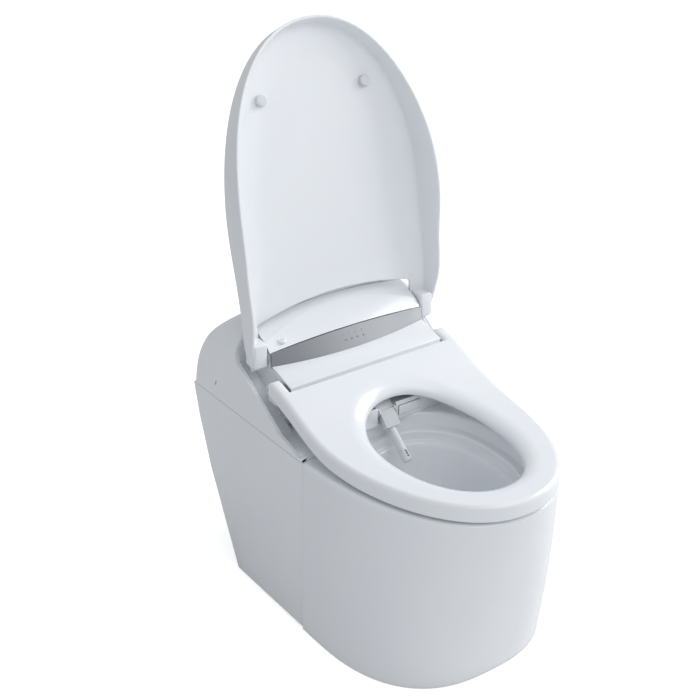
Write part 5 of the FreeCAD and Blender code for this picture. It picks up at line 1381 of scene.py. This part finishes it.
    def bulkhead(self) -> Piece:
        """The closed wall just behind the dome's front edge."""
        top = self.dome(self.front) - 3.0
        left = [(-196.4, 352.0), (-196.4, 450.0)]
        left += [(-(w - 3.4), z - 1.0) for z, w in self.shoulder.table[::6] if z < top and w > 8.0]
        right = [(-x, z) for x, z in reversed(left)]
        inner = [(150.0, 352.0), (150.0, 468.0), (-150.0, 468.0), (-150.0, 352.0)]
        points = [(x, 199.6, z) for x, z in left + right + inner]
        return walled(from_faces("bulkhead", points, [tuple(range(len(points)))]), 1.4, 0.0)

    def slit(self) -> Piece:
        """The short curved slit high on the left side, drawn as a thin dark sheet: painted shade where the
        slit's gap is.
        """
        x, y, z = self.slit_place
        turns = [math.radians(angle) for angle in self.slit_angles]
        rows = [[(x, y - self.slit_radius * math.cos(turn) + step, z + self.slit_radius * math.sin(turn))
                 for turn in turns] for step in (0.0, self.slit_width)]
        return walled(from_rows("side_slit", rows), 0.4, 0.0)

    def make(self, palette: Palette) -> None:
        """Build and dress the casing."""
        skin = self.skin()
        finish_piece(skin, "base", palette, GLOSS, "rear_casing")
        for side in Side:
            finish_piece(self.arm(side), "base", palette, GLOSS)
            finish_piece(self.brow(side), "base", palette, GLOSS)
        # the slit's thin dark sheet is painted shade
        finish_piece(self.slit(), "base", palette, INK_AND_SLIT_SHADE)
        finish_piece(self.bulkhead(), "base", palette, GLOSS)
        finish_piece(self.tab(), "base", palette, GLOSS, "side_tab")


@dataclass
class HingeUnit:
    """What stands between the lid's arms: flap, silver band, crowned cover, dome and indicators."""

    half: float = 162.0
    cover_front: float = 139.3
    cover_rear: float = 196.5
    front_rows: int = 36
    rear_rows: int = 24
    cover_wall: float = 3.3
    joint_z: Plan = (475.0, 7.0)
    crease_z: Plan = (488.0, 28.0)
    rear_z: Plan = (508.0, 15.0)
    crease_y: Plan = (152.0, 29.0)
    slope_low: Plan = (1.1, -0.1)
    slope_high: Plan = (0.95, -0.25)
    cover_columns: int = 64
    band_columns: int = 72
    foot_y: Plan = (133.3, -14.0)
    foot_z: Plan = (449.0, -4.2)
    band_wall: float = 2.0
    band_top: float = 136.0
    proud: float = 0.35
    icon_first: Plan = (-12.0, 461.8)
    icon_pitch: float = 12.7
    icon_depth: float = 0.3
    icon_shapes: tuple[tuple[int, float, float], ...] = ((24, 1.9, 1.35), (6, 1.9, 1.3), (4, 2.0, 1.35),
                                                         (3, 2.1, 1.45))

    def bowed(self, ends: Plan, x: float) -> float:
        """A measure at x from its size at the ends and its growth to the middle."""
        return ends[0] + ends[1] * (1 - (x / self.half) ** 2)

    def across(self, columns: int) -> list[float]:
        """Places from the left end to the right."""
        return [-self.half + 2 * self.half * c / columns for c in range(columns + 1)]

    def cover_z(self, x: float, y: float) -> float:
        """The cover's top face, steep in front of a bowed crease and gentler behind it."""
        low, crease, high, crease_y = (
            self.bowed(ends, x) for ends in (self.joint_z, self.crease_z, self.rear_z, self.crease_y))
        if y >= crease_y:
            return crease + (high - crease) * (y - crease_y) / (self.cover_rear - crease_y)
        length = crease_y - self.cover_front
        t = (y - self.cover_front) / length
        first, last = self.bowed(self.slope_low, x) * length, self.bowed(self.slope_high, x) * length
        return (low * (1 + 2 * t) * (1 - t) ** 2 + crease * t * t * (3 - 2 * t)
                + first * t * (1 - t) ** 2 - last * t * t * (1 - t))

    def cover(self) -> Piece:
        """The crowned white cover."""
        rows = []
        for n in range(self.front_rows + self.rear_rows + 1):
            row = []
            for x in self.across(self.cover_columns):
                crease = self.bowed(self.crease_y, x)
                low, high, share = self.cover_front, crease, n / self.front_rows
                if n > self.front_rows:
                    low, high, share = crease, self.cover_rear, (n - self.front_rows) / self.rear_rows
                y = low + (high - low) * share
                row.append((x, y, self.cover_z(x, y)))
            rows.append(row)
        piece = from_rows("crowned_cover", rows)
        walled(piece, self.cover_wall, -1.0 if piece.data.polygons[0].normal.z > 0 else 1.0)
        return bevelled(piece, 1.1 * MM, 3, 55.0)

    def band(self) -> Piece:
        """The silver band, lens-shaped from the front and leaning back."""
        rows, steps = [], 10
        for r in range(steps + 1):
            row = []
            for x in self.across(self.band_columns):
                _, low, high = self.band_ends(x)
                z = low + (high - low) * r / steps
                row.append((x, self.band_y(x, z) + self.proud, z))
            rows.append(row)
        piece = from_rows("silver_band", rows)
        walled(piece, self.band_wall, 1.0 if piece.data.polygons[0].normal.y > 0 else -1.0)
        return smooth(piece, 40.0)

    def apron(self) -> Piece:
        """The flap's downturned front lip."""
        return block("flap_apron", (-161.5, 76.6, 415.0), (161.5, 78.6, 434.0), 0.6, 2)

    def band_ends(self, x: float) -> Place:
        """Where the band's lower edge stands at x, and the heights of both edges."""
        return self.bowed(self.foot_y, x), self.bowed(self.foot_z, x), self.bowed(self.joint_z, x)

    def icons(self) -> list[Piece]:
        """Four small generic marks under the lenses."""
        pieces = []
        for n, (corners, outer, inner) in enumerate(self.icon_shapes):
            x, z = self.icon_first[0] + self.icon_pitch * n, self.icon_first[1]
            deselect()
            bpy.ops.mesh.primitive_circle_add(vertices=corners, radius=outer * MM, fill_type="NGON",
                                              location=(x * MM, self.band_y(x, z) * MM, z * MM),
                                              rotation=(math.pi / 2, 0, 0))
            piece = bpy.context.object
            with editing(piece):
                bpy.ops.mesh.inset(thickness=(outer - inner) * MM, depth=0)
                bpy.ops.mesh.delete(type="FACE")
                bpy.ops.mesh.select_all(action="SELECT")
                move = {"value": (0, self.icon_depth * MM, 0)}
                bpy.ops.mesh.extrude_region_move(TRANSFORM_OT_translate=move)
            piece.name = f"icon_{n}"
            pieces.append(settle(piece))
        return pieces

    def band_y(self, x: float, z: float) -> float:
        """The front of the silver band at a place, a little proud."""
        low_y, low_z, high_z = self.band_ends(x)
        return low_y + (self.band_top - low_y) * (z - low_z) / (high_z - low_z) - self.proud

    def make(self, palette: Palette) -> None:
        """Build and dress the unit."""
        finish_piece(self.cover(), "base", palette, GLOSS, "top_cover")
        finish_piece(self.band(), "base", palette, SILVER, "indicator_band")
        finish_piece(refined("front_flap", 1.2 * MM, 4), "base", palette, GLOSS, "front_flap")
        finish_piece(self.apron(), "base", palette, GLOSS)
        finish_piece(refined("sensor_dome", 0.0), "base", palette, GLOSS, "sensor_dome")
        for node in ("left_hinge_tower", "right_hinge_tower"):
            finish_piece(refined(node, 1.4 * MM), "base", palette, GLOSS, node)
        for piece in self.icons():
            finish_piece(piece, "base", palette, INK_AND_SLIT_SHADE)


@dataclass
class WashParts:
    """The nozzle, its hood and guide, the shroud wall and the dryer's flap."""

    tip: Place = (-4.5, -46.9, 297.6)
    tilt: float = 40.0
    hole_pitch: float = 4.4
    hole_radius: float = 1.55
    rounded: tuple[tuple[str, str, float, Finish], ...] = (
        ("nozzle_wand", "nozzle", 0.0, NOZZLE),
        ("nozzle_tip", "nozzle", 0.0, NOZZLE),
        ("nozzle_shutter", "nozzle_shutter", 0.5, NOZZLE),
        ("nozzle_guide", "base", 0.5, SATIN),
        ("front_wall", "base", 0.5, GLOSS),
        ("dryer_flap", "dryer_flap", 0.5, GLOSS),
    )

    def spray_holes(self) -> Piece:
        """Dark insets in the three spray holes: painted shade in place of the holes' depth."""
        turn = math.radians(self.tilt)
        back, up = Vector((0, math.cos(turn), math.sin(turn))), Vector((0, -math.sin(turn), math.cos(turn)))
        pieces = []
        for n in range(3):
            place = Vector(self.tip) + back * (8.0 + n * self.hole_pitch) + up * 7.9
            pieces.append(settle(rod(self.hole_radius, 1.7, place, 20, turn)))
        return joined("spray_holes", pieces)

    def make(self, palette: Palette) -> None:
        """Build and dress the wash parts."""
        for node, body, width, finish in self.rounded:
            finish_piece(refined(node, width * MM, 2), body, palette, finish, node)
        # the dark discs are painted shade for the spray holes
        finish_piece(self.spray_holes(), "nozzle", palette, PAINTED_HOLE_SHADE)


@dataclass
class BodyPanels:
    """Side panels, base plate and the frame's other nodes, which keep their shapes."""

    panels: tuple[str, ...] = ("left_side_panel", "right_side_panel")

    def make(self, palette: Palette) -> None:
        """Dress the panels and every node that still shows."""
        for node in self.panels:
            finish_piece(refined(node, 1.2 * MM), "base", palette, GLOSS, node)
        finish_piece(refined("base_plate", 0.8 * MM), "base", palette, GLOSS, "base_plate")
        slots = {entry["node"]: entry["material_slot"] for entry in frame["record"]["subparts"]}
        for name, item in frame["nodes"].items():
            finish = palette.by_slot[slots[name]]
            item.data.materials.clear()
            item.data.materials.append(palette.of(finish))
            log.info("%s wears %s", name, finish.name)


@dataclass
class Studio:
    """Pale floor, soft lamps and the photograph's viewpoint."""

    place: Place = (-1.2428, -1.5897, 1.5188)
    azimuth: float = -35.831
    elevation: float = 26.997
    roll: float = 0.102
    lens: float = 69.12
    glow: float = 0.62
    sky: tuple[float, float, float, float] = (0.93, 0.96, 1.0, 1.0)
    sky_strength: float = 0.56
    lamps: tuple[tuple[str, tuple, tuple, float, float], ...] = (
        ("key", (2.6, -0.6, 2.0), (0, 0, 0.45), 2.0, 57),
        ("fill", (-0.5, -2.5, 2.8), (0, 0, 0.5), 2.4, 16),
        ("top", (0.6, -2.0, 3.2), (0, 0, 0.5), 2.0, 12),
    )

    def camera(self) -> None:
        """Set the camera."""
        turn, lift = math.radians(self.azimuth), math.radians(self.elevation)
        back = Vector((math.sin(turn) * math.cos(lift), -math.cos(turn) * math.cos(lift), math.sin(lift)))
        right = Vector((math.cos(turn), math.sin(turn), 0))
        up = back.cross(right)
        spin = Matrix.Rotation(math.radians(self.roll), 4, "Z")
        basis = Matrix((right, up, back)).transposed().to_4x4() @ spin
        data = bpy.data.cameras.new("viewpoint")
        data.lens, data.sensor_width, data.clip_start, data.clip_end = self.lens, 36.0, 0.05, 50.0
        camera = bpy.data.objects.new("viewpoint", data)
        camera.matrix_world = Matrix.Translation(self.place) @ basis
        bpy.context.collection.objects.link(camera)
        bpy.context.scene.camera = camera

    def lamp(self, name: str, place: Sequence[float], target: Sequence[float], size: float,
             power: float) -> None:
        """A soft square lamp that faces a target."""
        data = bpy.data.lights.new(name, "AREA")
        data.shape, data.size, data.energy = "SQUARE", size, power
        lamp = bpy.data.objects.new(name, data)
        lamp.location = place
        lamp.rotation_euler = (Vector(target) - Vector(place)).to_track_quat("-Z", "Y").to_euler()
        bpy.context.collection.objects.link(lamp)

    def floor(self) -> None:
        """A wide white floor that reads as the picture's background."""
        deselect()
        bpy.ops.mesh.primitive_plane_add(size=12, location=(0, 0, -0.0006))
        floor = bpy.context.object
        floor.name = "studio_floor"
        graph = Graph("floor_white")
        path = graph.node("ShaderNodeLightPath")
        glow = Signal(graph, path.outputs["Is Camera Ray"]) * self.glow
        graph.shade({"Base Color": (0.8, 0.8, 0.8, 1), "Roughness": 0.9, "Emission Color": (1, 1, 1, 1),
                     "Emission Strength": glow})
        floor.data.materials.append(graph.material)

    def world(self) -> None:
        """Even pale light, plain white where the camera looks past the floor."""
        world = bpy.data.worlds.new("studio")
        world.use_nodes = True
        tree = world.node_tree
        tree.nodes.clear()
        output = tree.nodes.new("ShaderNodeOutputWorld")
        mix = tree.nodes.new("ShaderNodeMixShader")
        plain, seen = tree.nodes.new("ShaderNodeBackground"), tree.nodes.new("ShaderNodeBackground")
        path = tree.nodes.new("ShaderNodeLightPath")
        plain.inputs[0].default_value, plain.inputs[1].default_value = self.sky, self.sky_strength
        seen.inputs[0].default_value, seen.inputs[1].default_value = (1, 1, 1, 1), 1.0
        tree.links.new(path.outputs["Is Camera Ray"], mix.inputs[0])
        tree.links.new(plain.outputs[0], mix.inputs[1])
        tree.links.new(seen.outputs[0], mix.inputs[2])
        tree.links.new(mix.outputs[0], output.inputs[0])
        bpy.context.scene.world = world

    def make(self) -> None:
        """Set up the studio."""
        self.camera()
        self.floor()
        self.world()
        for lamp in self.lamps:
            self.lamp(*lamp)
        bpy.context.scene.view_settings.view_transform = "Standard"


def main() -> None:
    """Build every sub-assembly in order."""
    logging.basicConfig(level=logging.INFO, format="%(message)s")
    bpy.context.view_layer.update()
    palette = Palette()
    for assembly in (CeramicBody(), BodyPanels(), RearCasing(), HingeUnit(), WashParts(), WashingSeat(),
                     DishedLid()):
        assembly.make(palette)
        log.info("%s done", type(assembly).__name__)
    Studio().make()


if __name__ == "__main__":
    main()
